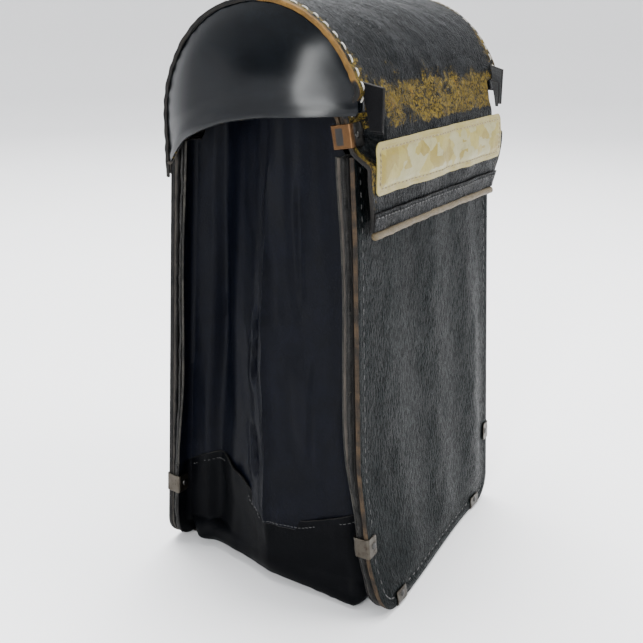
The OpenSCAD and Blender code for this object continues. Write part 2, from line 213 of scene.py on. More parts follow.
# ---------- mesh building ----------
class Build:
    """Collects surfaces into one mesh. kind is the index of a surface's material."""

    def __init__(self, mirror=(1, 1, 1)):
        self.mirror = np.array(mirror, float)
        self.points, self.faces, self.kinds, self.flat, self.wear = [], [], [], [], []
        self.count = 0

    def add(self, points, faces, kinds, flat, wear=0.0):
        points = np.asarray(points, float).reshape(-1, 3) * self.mirror
        flip = np.prod(self.mirror) < 0
        self.faces += [[i + self.count for i in (face[::-1] if flip else face)] for face in faces]
        self.kinds += list(kinds) if np.ndim(kinds) else [kinds] * len(faces)
        self.points.append(points)
        self.flat.append(np.asarray(flat, float).reshape(-1, 3))
        self.wear.append(np.broadcast_to(np.asarray(wear, float).reshape(-1), (len(points),)))
        self.count += len(points)

    def slab(self, surface, us, vs, thick, kinds=(0, 1, 2), rounding=0.0006, wear=None, rim=None,
             shift=0.0):
        """A sheet of leather or metal whose outer face is the surface. kinds are outer, inner and edge."""
        uu, vv = np.meshgrid(us, vs)
        rows, cols = uu.shape
        outer, du, dv, normal = tangents(surface, uu, vv)
        out = np.zeros_like(outer)
        out[0] -= dv[0]
        out[-1] += dv[-1]
        out[:, 0] -= du[:, 0]
        out[:, -1] += du[:, -1]
        out = unit(out)
        loops = [(-1, 0), (-0.29, 0.29), (0, 1)]
        ring = ([(0, c) for c in range(cols)] + [(r, cols - 1) for r in range(1, rows)]
                + [(rows - 1, c) for c in range(cols - 2, -1, -1)] + [(r, 0) for r in range(rows - 2, 0, -1)])
        ring_r, ring_c = np.array(ring).T
        radius = min(rounding, thick / 2)
        border = outer[ring_r, ring_c]
        side, down = out[ring_r, ring_c], -normal[ring_r, ring_c]
        outer[ring_r, ring_c] = border - side * radius
        inner = outer - normal * thick
        middle = [border + side * radius * a + down * radius * b for a, b in loops[1:]]
        middle += [border + side * radius * a + down * (thick - radius * b) for a, b in loops[:0:-1]]
        flat = stacked(lengths(outer[rows // 2])[None, :], lengths(outer[:, cols // 2])[:, None],
                       np.zeros((rows, cols)) + shift)
        worn = wear(uu, vv) if wear else np.zeros((rows, cols))
        size = rows * cols
        points = np.concatenate([outer.reshape(-1, 3), inner.reshape(-1, 3)] + middle)
        flat_ring = flat[ring_r, ring_c]
        depths = [radius * 0.3, radius, thick - radius, thick - radius * 0.3]
        flats = [flat.reshape(-1, 3), flat.reshape(-1, 3) + [0, 0, thick]]
        flats += [flat_ring + [0, 0, depth] for depth in depths]
        edge_worn = (rim(uu, vv) if rim else worn)[ring_r, ring_c]
        wears = np.concatenate([worn.reshape(-1)] * 2 + [edge_worn] * 4)
        index = np.arange(size).reshape(rows, cols)
        quads = stacked(index[:-1, :-1], index[:-1, 1:], index[1:, 1:], index[1:, :-1]).reshape(-1, 4)
        faces = quads.tolist() + (quads[:, ::-1] + size).tolist()
        kind = [kinds[0]] * len(quads) + [kinds[1]] * len(quads)
        corner = ring_r * cols + ring_c
        count = len(ring)
        levels = [corner] + [2 * size + k * count + np.arange(count) for k in range(4)] + [corner + size]
        for upper, lower in zip(levels[:-1], levels[1:]):
            strip = stacked(upper, lower, np.roll(lower, -1), np.roll(upper, -1))
            faces += strip.tolist()
            kind += [kinds[2]] * count
        self.add(points, faces, kind, np.concatenate(flats), wears)

    def sweep(self, rings, kind=0, wear=0.0, shift=0.0):
        """A closed section carried along a path, with rounded ends. rings is (path, section, 3)."""
        rings = np.asarray(rings, float)
        caps = []
        for end, inside in ((0, 1), (-1, -2)):
            centre = rings[end].mean(axis=0)
            away = unit(centre - rings[inside].mean(axis=0))
            size = np.linalg.norm(rings[end] - centre, axis=1).mean()
            caps.append([centre + (rings[end] - centre) * k + away * size * h
                         for k, h in ((0.8, 0.25), (0.4, 0.42))])
        rings = np.concatenate([[caps[0][1], caps[0][0]], rings, [caps[1][0], caps[1][1]]])
        steps, n = rings.shape[:2]
        along, around = lengths(rings.mean(axis=1)), lengths(rings[steps // 2])
        flat = stacked(around[None, :], along[:, None], np.zeros((steps, n)) + shift)
        quads, first, last = tube(steps, n)
        self.add(rings, quads + [first[::-1], last], kind, flat, wear)

    def stitches(self, centres, along, normal, length, width, kind=0, seed=1):
        """Thread stitches that dive into the leather at both ends."""
        rng = np.random.default_rng(seed)
        rows, sides = 7, 6
        t = np.linspace(-1, 1, rows)
        angle = circle(sides)
        quads, first, last = tube(rows, sides, turned=True)
        girth = np.sqrt(np.clip(1 - t ** 4, 0.03, 1))[:, None]
        for i, (c, a, n) in enumerate(zip(centres, along, normal)):
            a, n = Vector(a), Vector(n)
            a = (Matrix.Rotation(rng.normal(0, 0.06), 3, n) @ a).normalized()
            b = n.cross(a)
            half = length / 2 * rng.uniform(0.9, 1.06)
            rise = width * (0.42 - 0.75 * t ** 4)[:, None]
            cosine, sine = np.cos(angle)[None, :], np.sin(angle)[None, :]
            points = (np.array(c) + stacked(*[t[:, None] * half + 0 * cosine] * 3) * np.array(a)
                      + (girth * cosine * width / 2)[..., None] * np.array(b)
                      + (girth * sine * width * 0.42 + rise)[..., None] * np.array(n))
            flat = stacked(t[:, None] * half + 0 * cosine, angle[None, :] * width / 2,
                           np.full((rows, sides), i * 0.01))
            self.add(points, quads + [first, last[::-1]], kind, flat)

    def dome(self, centre, axis, radius, height, seed):
        """Domed rivet head that stands on its centre along axis, slightly out of round."""
        axis = Vector(axis).normalized()
        side = axis.orthogonal().normalized()
        other = axis.cross(side)
        profile = [(1, -0.3), (1.02, 0.1), (0.97, 0.34), (0.82, 0.66), (0.58, 0.88), (0.3, 0.98)]
        sides = 20
        angle = circle(sides)
        rings = []
        for reach, rise in profile:
            wobble = 1 + 0.03 * waves(np.cos(angle) * reach, np.sin(angle) * reach, 1.4, seed)
            rings.append(np.array(centre) + np.outer(np.cos(angle) * reach * radius * wobble, side)
                         + np.outer(np.sin(angle) * reach * radius * wobble, other)
                         + np.array(axis) * rise * height)
        rings = np.array(rings)
        quads, first, last = tube(len(profile), sides)
        self.add(rings, quads + [last, first[::-1]], 0, rings - np.array(centre))

    def piece(self, name, materials, body, slot, *nodes):
        mesh = bpy.data.meshes.new(name)
        points = np.concatenate(self.points)
        mesh.from_pydata((bowed(points) if body == "root" else points).tolist(), [], self.faces)
        for material in materials:
            mesh.materials.append(material)
        mesh.polygons.foreach_set("material_index", self.kinds)
        mesh.shade_smooth()
        flat = mesh.attributes.new("flat", "FLOAT_VECTOR", "POINT")
        flat.data.foreach_set("vector", np.concatenate(self.flat).astype(np.float32).ravel())
        wear = mesh.attributes.new("wear", "FLOAT", "POINT")
        wear.data.foreach_set("value", np.concatenate(self.wear).astype(np.float32))
        mesh.set_sharp_from_angle(angle=math.radians(50))
        obj = bpy.data.objects.new(name, mesh)
        bpy.context.collection.objects.link(obj)
        if nodes:
            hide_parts(*nodes)
        if body:
            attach(obj, body)
        return obj


# ---------- materials ----------
class Shader:
    """A Principled material whose nodes read the leather's own flat coordinates."""

    def __init__(self, name, **sockets):
        self.material = bpy.data.materials.new(name)
        self.material.use_nodes = True
        self.nodes = self.material.node_tree.nodes
        self.links = self.material.node_tree.links
        self.bsdf = self.nodes["Principled BSDF"]
        for socket, value in sockets.items():
            self.bsdf.inputs[socket.replace("_", " ")].default_value = value
        self.flat = self.attribute("flat", "Vector")
        self.wear = self.attribute("wear", "Fac")

    def attribute(self, name, output):
        node = self.nodes.new("ShaderNodeAttribute")
        node.attribute_name = name
        return node.outputs[output]

    def put(self, socket, value):
        if isinstance(value, bpy.types.NodeSocket):
            self.links.new(value, socket)
        elif isinstance(value, tuple) and len(value) == 3 and socket.type == "RGBA":
            socket.default_value = (*value, 1)
        else:
            socket.default_value = value

    def scaled(self, stretch):
        node = self.nodes.new("ShaderNodeVectorMath")
        node.operation = "MULTIPLY"
        self.put(node.inputs[0], self.flat)
        node.inputs[1].default_value = stretch
        return node.outputs[0]

    def noise(self, size, stretch=(1, 1, 1), detail=3, rough=0.55, warp=0.0):
        """Noise with features about size metres across."""
        node = self.nodes.new("ShaderNodeTexNoise")
        self.put(node.inputs["Vector"], self.scaled(stretch))
        node.inputs["Scale"].default_value = 1 / size
        node.inputs["Detail"].default_value = detail
        node.inputs["Roughness"].default_value = rough
        node.inputs["Distortion"].default_value = warp
        return node.outputs["Fac"]

    def cells(self, size, vector):
        """Voronoi cells about size metres across."""
        node = self.nodes.new("ShaderNodeTexVoronoi")
        self.put(node.inputs["Vector"], vector)
        node.inputs["Scale"].default_value = 1 / size
        return node

    def bent(self, size, amount, stretch):
        """The flat coordinates pushed about by noise, so that cells lose their regular look."""
        node = self.nodes.new("ShaderNodeTexNoise")
        self.put(node.inputs["Vector"], self.flat)
        node.inputs["Scale"].default_value = 1 / size
        push = self.nodes.new("ShaderNodeVectorMath")
        push.operation = "MULTIPLY_ADD"
        self.put(push.inputs[0], node.outputs["Color"])
        push.inputs[1].default_value = (amount, amount, amount)
        self.put(push.inputs[2], self.scaled(stretch))
        return push.outputs[0]

    def math(self, operation, a, b=0.0):
        node = self.nodes.new("ShaderNodeMath")
        node.operation = operation
        self.put(node.inputs[0], a)
        self.put(node.inputs[1], b)
        return node.outputs[0]

    def plus(self, a, b):
        return self.math("ADD", a, b)

    def minus(self, a, b):
        return self.math("SUBTRACT", a, b)

    def times(self, a, b):
        return self.math("MULTIPLY", a, b)

    def weigh(self, a, share_a, b, share_b):
        return self.plus(self.times(a, share_a), self.times(b, share_b))

    def from_middle(self, value):
        return self.math("ABSOLUTE", self.minus(value, 0.5))

    def span(self, value, low, high, to_low=0.0, to_high=1.0):
        node = self.nodes.new("ShaderNodeMapRange")
        node.interpolation_type = "SMOOTHSTEP"
        for key, number in (("From Min", low), ("From Max", high), ("To Min", to_low), ("To Max", to_high)):
            node.inputs[key].default_value = number
        self.put(node.inputs["Value"], value)
        return node.outputs["Result"]

    def mix(self, factor, a, b):
        """Colour a where factor is 0 and b where it is 1."""
        node = self.nodes.new("ShaderNodeMix")
        node.data_type = "RGBA"
        self.put(node.inputs["Factor"], factor)
        self.put(node.inputs[6], a)
        self.put(node.inputs[7], b)
        return node.outputs[2]

    def bump(self, height, depth):
        """Relief of depth metres."""
        node = self.nodes.new("ShaderNodeBump")
        node.inputs["Distance"].default_value = depth
        self.put(node.inputs["Height"], height)
        return node.outputs["Normal"]

    def finish(self, colour, roughness, normal):
        self.put(self.bsdf.inputs["Base Color"], colour)
        self.put(self.bsdf.inputs["Roughness"], roughness)
        self.put(self.bsdf.inputs["Normal"], normal)
        return self.material


def leather(name, dark, light, grain=0.0016, stretch=(1, 1, 1), relief=0.00022, crack=0.3, stroke=0.0,
            rough=(0.38, 0.6), scuff=None, bare=None, mottled=0.02, **sockets):
    """Grained leather. scuff is the colour where the finish has rubbed off, bare where it has gone."""
    s = Shader(name, **sockets)
    pebble = s.cells(grain, s.bent(grain * 2.5, grain * 0.8, stretch)).outputs["Distance"]
    fine = s.noise(grain * 0.45, stretch, detail=4, rough=0.65)
    broad = s.noise(mottled, stretch, detail=5, rough=0.6)
    folds = s.noise(grain * 6, (stretch[0] * 1.6, stretch[1] * 0.5, 1), detail=4, rough=0.6, warp=0.7)
    cracks = s.times(s.span(s.from_middle(folds), 0.03, 0.0), crack)
    tone = s.span(s.weigh(broad, 0.75, fine, 0.25), 0.32, 0.72)
    black = darker(dark, 0.3)
    colour = s.mix(tone, dark, light)
    # Painted shade: the colour darkens towards black in the crevices between the grain's pebbles.
    colour = s.mix(s.span(pebble, 0.25, 0.75, 0.0, 0.45), colour, black)
    colour = s.mix(cracks, colour, black)
    height = s.weigh(s.minus(0.8, pebble), 0.5, fine, 0.25)
    height = s.minus(height, s.times(cracks, 1.4))
    rough_map = s.span(s.weigh(broad, 0.6, fine, 0.4), 0.3, 0.75, *rough)
    if stroke:
        long = s.noise(0.0021, (1, 0.30, 1), detail=1.6, rough=0.5, warp=0.3)
        strokes = s.span(long, 0.47, 0.58)
        colour = s.mix(s.times(strokes, stroke), colour, black)
        height = s.minus(height, s.times(strokes, 0.75))
        rough_map = s.plus(rough_map, s.times(strokes, 0.12))
    if scuff:
        plume = s.noise(grain * 6, (1, 0.5, 1), 6, 0.7)
        flake = s.noise(grain * 2.2, (0.8, 1, 1), 6, 0.75, 0.6)
        rub = s.weigh(plume, 0.45, flake, 0.55)
        level = s.plus(rub, s.times(s.wear, 0.30))
        lines = s.from_middle(s.noise(grain * 2.4, (0.8, 1, 1), 4, 0.65, 0.9))
        scuffed = s.times(s.span(level, 0.65, 0.70), s.span(lines, 0.015, 0.055, 0.0, 1.0))
        colour = s.mix(s.times(scuffed, 0.9), colour, scuff)
        if bare:
            colour = s.mix(s.times(s.span(level, 0.80, 0.92), 0.7), colour, bare)
        rough_map = s.plus(rough_map, s.times(scuffed, 0.25))
        height = s.minus(height, s.times(scuffed, 0.4))
    return s.finish(colour, rough_map, s.bump(height, relief))


def raw_edge(name, dark, light, worn=None, **sockets):
    """Cut leather: fibres and layers that run along the edge. worn is its colour where wear has bared it."""
    s = Shader(name, **sockets)
    layer = s.noise(0.0007, (0.06, 0.06, 1.4), 4, 0.7)
    fibre = s.noise(0.0009, (1, 1, 1), 5, 0.75)
    patch = s.noise(0.016, (1, 1, 0.5), 4, 0.65)
    tone = s.weigh(layer, 0.35, patch, 0.65)
    colour = s.mix(s.span(tone, 0.40, 0.66), dark, light)
    if worn:
        bared = s.span(s.plus(s.wear, s.times(s.minus(patch, 0.5), 0.9)), 0.35, 0.7)
        colour = s.mix(bared, colour, s.mix(s.span(layer, 0.35, 0.7), darker(worn, 0.55), worn))
    colour = s.mix(s.span(fibre, 0.45, 0.75, 0.0, 0.4), colour, darker(dark, 0.3))
    height = s.weigh(layer, 0.6, fibre, 0.4)
    return s.finish(colour, s.span(fibre, 0.3, 0.7, 0.62, 0.85), s.bump(height, 0.0004))


def suede(name, dark, light):
    """Flesh side of the leather: short nap with a soft mottle."""
    s = Shader(name, Sheen_Weight=0.25, Sheen_Roughness=0.5)
    nap = s.noise(0.0006, (1, 1, 1), 5, 0.8)
    mottle = s.noise(0.018, (1, 0.6, 1), 5, 0.6)
    colour = s.mix(s.span(mottle, 0.35, 0.7), dark, light)
    colour = s.mix(s.span(nap, 0.4, 0.7, 0.0, 0.35), colour, darker(dark, 0.5))
    return s.finish(colour, s.span(nap, 0.3, 0.7, 0.8, 0.95), s.bump(nap, 0.00025))


def thread(name, colour, dirt_and_groove_shade):
    """Waxed linen thread: the twist of its strands, grime in spots, and painted shade in the grooves between
    strands.
    """
    s = Shader(name, Sheen_Weight=0.2)
    wave = s.nodes.new("ShaderNodeTexWave")
    wave.bands_direction = "DIAGONAL"
    s.put(wave.inputs["Vector"], s.scaled((1.6, 1, 0)))
    wave.inputs["Scale"].default_value = 330
    wave.inputs["Distortion"].default_value = 1.2
    spot = s.noise(0.0035, (1, 1, 1), 4, 0.7)
    mixed = s.mix(s.span(spot, 0.35, 0.7), dirt_and_groove_shade, colour)
    # Painted shade: the colour darkens in the grooves between the twisted strands.
    mixed = s.mix(s.span(wave.outputs["Fac"], 0.5, 0.1, 0.0, 0.5), mixed, darker(dirt_and_groove_shade, 0.4))
    return s.finish(mixed, s.span(spot, 0.3, 0.7, 0.5, 0.75), s.bump(wave.outputs["Fac"], 0.00016))


def metal(name, bright, stain, rough=(0.28, 0.55), worn=None):
    """Plated or lacquered strip: scratches, tarnish in patches, and bare metal where it is worn."""
    s = Shader(name, Metallic=1.0)
    scratch = s.noise(0.0011, (1, 0.05, 1), 5, 0.75)
    fine = s.noise(0.0005, (0.6, 0.6, 1), 4, 0.7)
    patch = s.noise(0.006, (1, 1, 1), 5, 0.68)
    mask = s.span(s.weigh(patch, 0.8, fine, 0.2), 0.45, 0.72)
    colour = s.mix(mask, bright, stain)
    if worn:
        rub = s.span(s.plus(s.wear, s.times(patch, 0.5)), 0.7, 0.95)
        colour = s.mix(rub, colour, worn)
    colour = s.mix(s.span(scratch, 0.6, 0.72, 0.0, 0.5), colour, tuple(min(1, c * 1.6) for c in bright))
    rough_map = s.plus(s.span(mask, 0, 1, *rough), s.times(s.span(scratch, 0.5, 0.7), 0.12))
    height = s.weigh(scratch, 0.5, patch, 0.5)
    return s.finish(colour, rough_map, s.bump(height, 0.00018))


def faceted_vinyl(name):
    """Cream patch under a film of pale angular flakes."""
    s = Shader(name, Coat_Weight=0.1, Coat_Roughness=0.25, Specular_IOR_Level=0.3)
    facet = s.cells(0.015, s.bent(0.02, 0.006, (1, 1.25, 1)))
    facet.distance = "MANHATTAN"
    pick = s.nodes.new("ShaderNodeSeparateColor")
    s.put(pick.inputs[0], facet.outputs["Color"])
    grime = s.noise(0.012, (1, 1, 1), 6, 0.7)
    speck = s.noise(0.0012, (1, 1, 1), 4, 0.75)
    yellow, pale, silver = (0.165, 0.124, 0.010), (0.215, 0.178, 0.034), (0.218, 0.204, 0.098)
    colour = s.mix(s.span(pick.outputs[0], 0.3, 0.7), yellow, pale)
    colour = s.mix(s.span(pick.outputs[1], 0.63, 0.66, 0.0, 0.9), colour, silver)
    colour = s.mix(s.span(grime, 0.52, 0.75, 0.0, 0.45), colour, (0.105, 0.078, 0.025))
    colour = s.mix(s.span(speck, 0.62, 0.75, 0.0, 0.5), colour, (0.07, 0.052, 0.018))
    colour = s.mix(s.span(s.wear, 0.1, 0.5), colour, (0.215, 0.178, 0.060))
    height = s.weigh(pick.outputs[1], 0.35, grime, 0.65)
    return s.finish(colour, s.span(grime, 0.3, 0.7, 0.32, 0.55), s.bump(height, 0.0004))


BLACK = (0.0015, 0.0015, 0.002)
panel_leather = leather("panel_leather", (0.0020, 0.0036, 0.0041), (0.0040, 0.0070, 0.0073), grain=0.0017,
                        stretch=(1.25, 0.55, 1), relief=0.0007, crack=0.1, stroke=0.75, rough=(0.32, 0.44),
                        scuff=(0.03, 0.028, 0.024), Specular_IOR_Level=0.045, mottled=0.045)
gusset_leather = leather("gusset_leather", (0.0009, 0.0013, 0.0030), (0.0022, 0.0029, 0.0062), grain=0.0014,
                         stretch=(1, 0.8, 1), relief=0.00022, crack=0.06, rough=(0.40, 0.52),
                         scuff=(0.016, 0.016, 0.018), Specular_IOR_Level=0.055)
boot_leather = leather("boot_leather", (0.0007, 0.0009, 0.0014), (0.0016, 0.0018, 0.0026), grain=0.0012,
                       relief=0.00014, crack=0.06, rough=(0.45, 0.56), scuff=(0.012, 0.012, 0.011),
                       Specular_IOR_Level=0.035)
welt_leather = leather("welt_leather", (0.004, 0.004, 0.004), (0.030, 0.029, 0.027), grain=0.0013,
                       relief=0.0007, crack=0.5, rough=(0.5, 0.75), scuff=(0.085, 0.078, 0.062),
                       mottled=0.008, Specular_IOR_Level=0.2)
lid_leather = leather("lid_leather", (0.0018, 0.0025, 0.0032), (0.0055, 0.0070, 0.0082), grain=0.0019,
                      stretch=(0.8, 1.1, 1), relief=0.0008, crack=0.7, stroke=0.35, rough=(0.27, 0.42),
                      scuff=(0.120, 0.084, 0.0165), bare=(0.150, 0.078, 0.012), Specular_IOR_Level=0.055)
ear_leather = leather("ear_leather", (0.0012, 0.0018, 0.0028), (0.0030, 0.0042, 0.0058), grain=0.0024,
                      relief=0.00004, crack=0.02, rough=(0.20, 0.27), mottled=0.03,
                      Specular_IOR_Level=0.06, Coat_Weight=0.32, Coat_Roughness=0.21)
strap_leather = leather("strap_leather", BLACK, (0.004, 0.004, 0.005), grain=0.0011, rough=(0.55, 0.7),
                        scuff=(0.02, 0.02, 0.02), Specular_IOR_Level=0.06)
# Painted light: a lit copy of the black strap leather, made grey to stand in for the light falling on the far
# chape.
painted_lit_strap_leather = leather("painted_lit_strap_leather", (0.022, 0.023, 0.025), (0.06, 0.06, 0.06), grain=0.0011,
                            rough=(0.45, 0.6), scuff=(0.1, 0.095, 0.09), Specular_IOR_Level=0.3)
piping_leather = leather("piping_leather", (0.072, 0.050, 0.021), (0.125, 0.092, 0.043), grain=0.0011,
                         relief=0.0003, crack=0.3, rough=(0.5, 0.7), mottled=0.012)
brown_edge = raw_edge("brown_edge", (0.006, 0.0042, 0.003), (0.052, 0.032, 0.015), Specular_IOR_Level=0.2)
ochre_edge = raw_edge("ochre_edge", (0.003, 0.003, 0.003), (0.011, 0.009, 0.007), worn=(0.155, 0.082, 0.018),
                      Specular_IOR_Level=0.2)
grey_edge = raw_edge("grey_edge", (0.005, 0.005, 0.0045), (0.030, 0.028, 0.023), Specular_IOR_Level=0.2)
black_edge = raw_edge("black_edge", (0.0018, 0.0018, 0.002), (0.010, 0.009, 0.008), Specular_IOR_Level=0.15)
flesh_side = suede("flesh_side", (0.022, 0.017, 0.013), (0.055, 0.044, 0.033))
white_thread = thread("white_thread", (0.50, 0.49, 0.44), (0.24, 0.22, 0.18))
waxed_thread = thread("waxed_thread", (0.018, 0.017, 0.016), (0.006, 0.006, 0.006))
boot_thread = thread("boot_thread", (0.05, 0.05, 0.05), (0.012, 0.012, 0.012))
label_thread = thread("label_thread", (0.25, 0.19, 0.09), (0.11, 0.08, 0.035))
nickel = metal("nickel", (0.055, 0.049, 0.040), (0.022, 0.015, 0.010), rough=(0.34, 0.6))
dark_steel = metal("dark_steel", (0.05, 0.049, 0.047), (0.015, 0.013, 0.011), rough=(0.32, 0.6))
lacquer = metal("lacquer", (0.085, 0.045, 0.021), (0.040, 0.021, 0.010), rough=(0.3, 0.5),
                worn=(0.030, 0.029, 0.028))
label_vinyl = faceted_vinyl("label_vinyl")


# ---------- body: panels ----------
def on_panel(x, depth, up):
    """A point depth behind the front panel's face and up along the leather."""
    return stacked(x, -BASE_D / 2 + depth * math.cos(LEAN) + up * math.sin(LEAN),
                   LIFT - depth * math.sin(LEAN) + up * math.cos(LEAN))


def edge_distance(x, up):
    """Distance in from the U edge of a panel."""
    straight = np.minimum(HALF_W - np.abs(x), up)
    dx, dz = np.abs(x) - (HALF_W - CORNER_R), CORNER_R - up
    return np.where((dx > 0) & (dz > 0), CORNER_R - np.hypot(dx, dz), straight)


def panel_swell(x, up, seed):
    """How far a panel's face stands out: a groove along the stitching and soft upright waves inside it."""
    e = edge_distance(x, up)
    inside = smooth((e - STITCH_IN) / 0.03)
    swell = 0.0014 * inside + 0.0020 * inside * waves(x, up * 0.22, 0.085, seed)
    swell = swell + 0.0003 * waves(x, up * 0.4, 0.022, seed + 1) * smooth(e / 0.02)
    swell = swell - 0.0009 * bell(e - STITCH_IN, 0.0016) + 0.0005 * bell(e - 0.0045, 0.003)
    return swell * smooth((STRIP_TOP - STRIP_H - up) / 0.03) if seed == BACK_SEED else swell


FRONT_SEED, BACK_SEED = 11, 23


def panel_surface(seed):
    return lambda x, up: on_panel(x, -panel_swell(x, up, seed), up)


def outline_half(up, radius, half):
    """Half the width of an outline with rounded lower corners at height up."""
    short = np.clip(radius - up, 0, radius)
    return half - radius + np.sqrt(np.maximum(radius ** 2 - short ** 2, 0))


def panel(name, side, seed, node):
    build = Build((1, side, 1))
    corner = CORNER_R * (1 - np.cos(np.linspace(0, math.pi / 2, 14)))
    rows = np.concatenate([corner, np.linspace(CORNER_R, PANEL_H, 88)[1:]])
    cols = np.linspace(-1, 1, 66)
    surface = panel_surface(seed)

    def across(u, v):
        return surface(u * outline_half(np.clip(v, 1e-6, None), CORNER_R, HALF_W), v)

    def wear(u, v):
        e = edge_distance(u * outline_half(v, CORNER_R, HALF_W), v)
        return 0.45 * bell(e, 0.004) + 0.12 * bell(v - 0.02, 0.05) + 0.1 * waves(u, v, 0.3, seed) - 0.3

    build.slab(across, cols, rows, PANEL_T, wear=wear, rounding=0.0007)
    edge = brown_edge if side > 0 else black_edge
    return build.piece(name, [panel_leather, flesh_side, edge], "root", "panel_leather", node)


panel("front_panel_leather", 1, FRONT_SEED, "front_panel")
panel("back_panel_leather", -1, BACK_SEED, "back_panel")


# ---------- body: the U seam ----------
def from_mouth(s):
    """Distance along the U seam from the nearer of its two ends at the mouth."""
    return np.minimum(s, 2 * HALF_LEN - s)


def seam(s):
    """Position and outward direction at distance s along the U seam: x, up, out_x, out_up."""
    t = from_mouth(s)
    turn = np.clip((t - SIDE_LEN) / CORNER_R, 0, math.pi / 2)
    x = np.where(t < SIDE_LEN, -HALF_W, CORNER_R - HALF_W - CORNER_R * np.cos(turn))
    x = np.where(t > BASE_S, t - BASE_S + CORNER_R - HALF_W, x)
    up = np.where(t < SIDE_LEN, PANEL_H - t, CORNER_R - CORNER_R * np.sin(turn))
    sign = np.where(s > HALF_LEN, -1, 1)
    return x * sign, up, -np.cos(turn) * sign, -np.sin(turn)


def gape(s):
    """How far the seam's layers spread apart at their outer edge. The clips hold them together."""
    t = from_mouth(s)
    free = 0.0052 * smooth((CLIP_LEFT_S - 0.012 - t) / 0.09) * (0.8 + 0.2 * np.cos(t * 31))
    low = 0.0016 * smooth(1 - np.abs(t - (CLIP_LEFT_S + CLIP_BASE_S) / 2) / 0.018)
    base = 0.0022 * smooth((t - CLIP_BASE_S - 0.012) / 0.03)
    return free + low + base


def on_seam(s, inward, depth):
    x, up, out_x, out_up = seam(s)
    return on_panel(x - inward * out_x, depth, up - inward * out_up)


def welt(name, side, seed, node):
    """A folded welt with a blunt grained nose, and a thinner filler between it and the panel."""
    build = Build((1, side, 1))
    s = np.linspace(0.001, 2 * HALF_LEN - 0.001, 330)
    filler = (1, 0.0002, 0.0020, 0.0012, 0.28)
    fold_over = (0, 0.0022, 0.0058, 0.0004, 0.62)
    for kind, shallow, deep, start, nose in (filler, fold_over):
        wobble = 0.0005 * waves(s, 0 * s, 0.022, seed + kind)
        wobble = wobble + 0.0003 * waves(s, 0 * s, 0.006, seed + 5 + kind)
        rings = []
        for angle in circle(14):
            c, q = squared(angle, 0.6, 0.75)
            inward = (start + 0.012) / 2 - c * (0.012 - start) / 2
            depth = WELT_DEPTH + (shallow + deep) / 2 + q * (deep - shallow) / 2
            lift = nose * gape(s) * (1 - inward / STITCH_IN if inward < STITCH_IN else 0)
            rings.append(on_seam(s, inward + wobble * (1 if c > 0 else 0), depth + lift))
        rings = np.stack(rings, axis=1)
        build.sweep(rings[:, ::-1], kind, wear=0.25, shift=seed)
    return build.piece(name, [welt_leather, black_edge], "root", "welt_leather", node)


welt("front_welt_layers", 1, 31, "front_welt")
welt("back_welt_layers", -1, 47, "back_welt")


def seam_stitches(name, side, seed, node):
    build = Build((1, side, 1))
    first, run = 0.01, 2 * HALF_LEN - 0.02
    count = math.floor(run / STITCH_PITCH)
    s = first + np.arange(count + 1) * run / count
    keep = np.all([np.abs(s - place) > CLIP_W / 2 + 0.004 for place in CLIP_PLACES], axis=0)
    if side < 0:
        keep &= seam(s)[1] < STRIP_TOP - STRIP_H - 0.006
    s = s[keep]
    x, up, out_x, out_up = seam(s)
    x, up = x - STITCH_IN * out_x, up - STITCH_IN * out_up
    centre, du, dv, normal = tangents(panel_surface(seed), x, up)
    along = unit(du * out_up[:, None] - dv * out_x[:, None])
    build.stitches(centre, along, normal, 0.0062, 0.0012, seed=seed)
    return build.piece(name, [waxed_thread], "root", "waxed_thread", node)


seam_stitches("front_seam_threads", 1, FRONT_SEED, "front_seam_stitches")
seam_stitches("back_seam_threads", -1, BACK_SEED, "back_seam_stitches")


# ---------- body: bellows ----------
FLANGE_IN = 0.015


def half_gap(up):
    return BASE_D / 2 - FLANGE_DEPTH * math.cos(LEAN) - up * math.sin(LEAN)


def fold_lines(s):
    """Outward offsets of the bellows' fold lines at distance s: front, ridge, valley and back."""
    t = from_mouth(s)
    limit = edge_limit(t)
    flat = EDGE_UP - GUSSET_T / 2
    middle = SIDE_LEN + ARC_LEN / 2

    def line(places, offsets):
        return np.minimum(limit, np.interp(t, places + [BASE_S], offsets + [flat]))

    high = PANEL_H - 0.240
    front = line([0, SIDE_LEN, middle], [-0.015, -0.006, 0.007])
    ridge = line([0, high, BOOT_S, SIDE_LEN, middle], [-0.012, 0.005, 0.003, 0.004, 0.005])
    valley = line([0, high, SIDE_LEN, middle], [-0.028, -0.032, -0.024, -0.008])
    back = line([0, SIDE_LEN, middle], [-0.022, -0.018, -0.002])
    return front, ridge, valley, back


RIDGE_AT = 0.46
FOLD_AT = np.array([0, 0.1, RIDGE_AT, 0.68, 0.84, 0.9, 1])
# Secondary folds: from and to along the seam, from and to across the sheet, depth
CREASES = ((0.12, 0.21, 0.49, 0.545, 0.0042), (0.23, 0.29, 0.57, 0.52, 0.0036),
           (0.03, 0.13, 0.30, 0.27, 0.0016), (0.16, 0.27, 0.2, 0.24, 0.0014))


def fold(f, s):
    """Outward offset of the sheet and nearness to its ridge. f is 0 at the front flange and 1 at the back."""
    front, ridge, valley, back = fold_lines(s)
    rim = np.full_like(front, -FLANGE_IN - 0.002)
    knots = np.stack([rim, front, ridge, (ridge + valley) / 2, valley, back, rim])
    k = np.clip(np.searchsorted(FOLD_AT, f, side="right") - 1, 0, 5)
    t = (f - FOLD_AT[k]) / (FOLD_AT[k + 1] - FOLD_AT[k])
    low = np.take_along_axis(knots, k[None], 0)[0]
    high = np.take_along_axis(knots, k[None] + 1, 0)[0]
    crisp = np.where((k == 1) | (k == 2), 0.3, 0.8)
    eased = t * (1 - crisp) + smooth(t) * crisp
    t_ridge = np.where(k == 1, t, 1 - t)
    near_ridge = np.where((k == 1) | (k == 2), smooth(t_ridge), 0)
    return low + (high - low) * eased, near_ridge


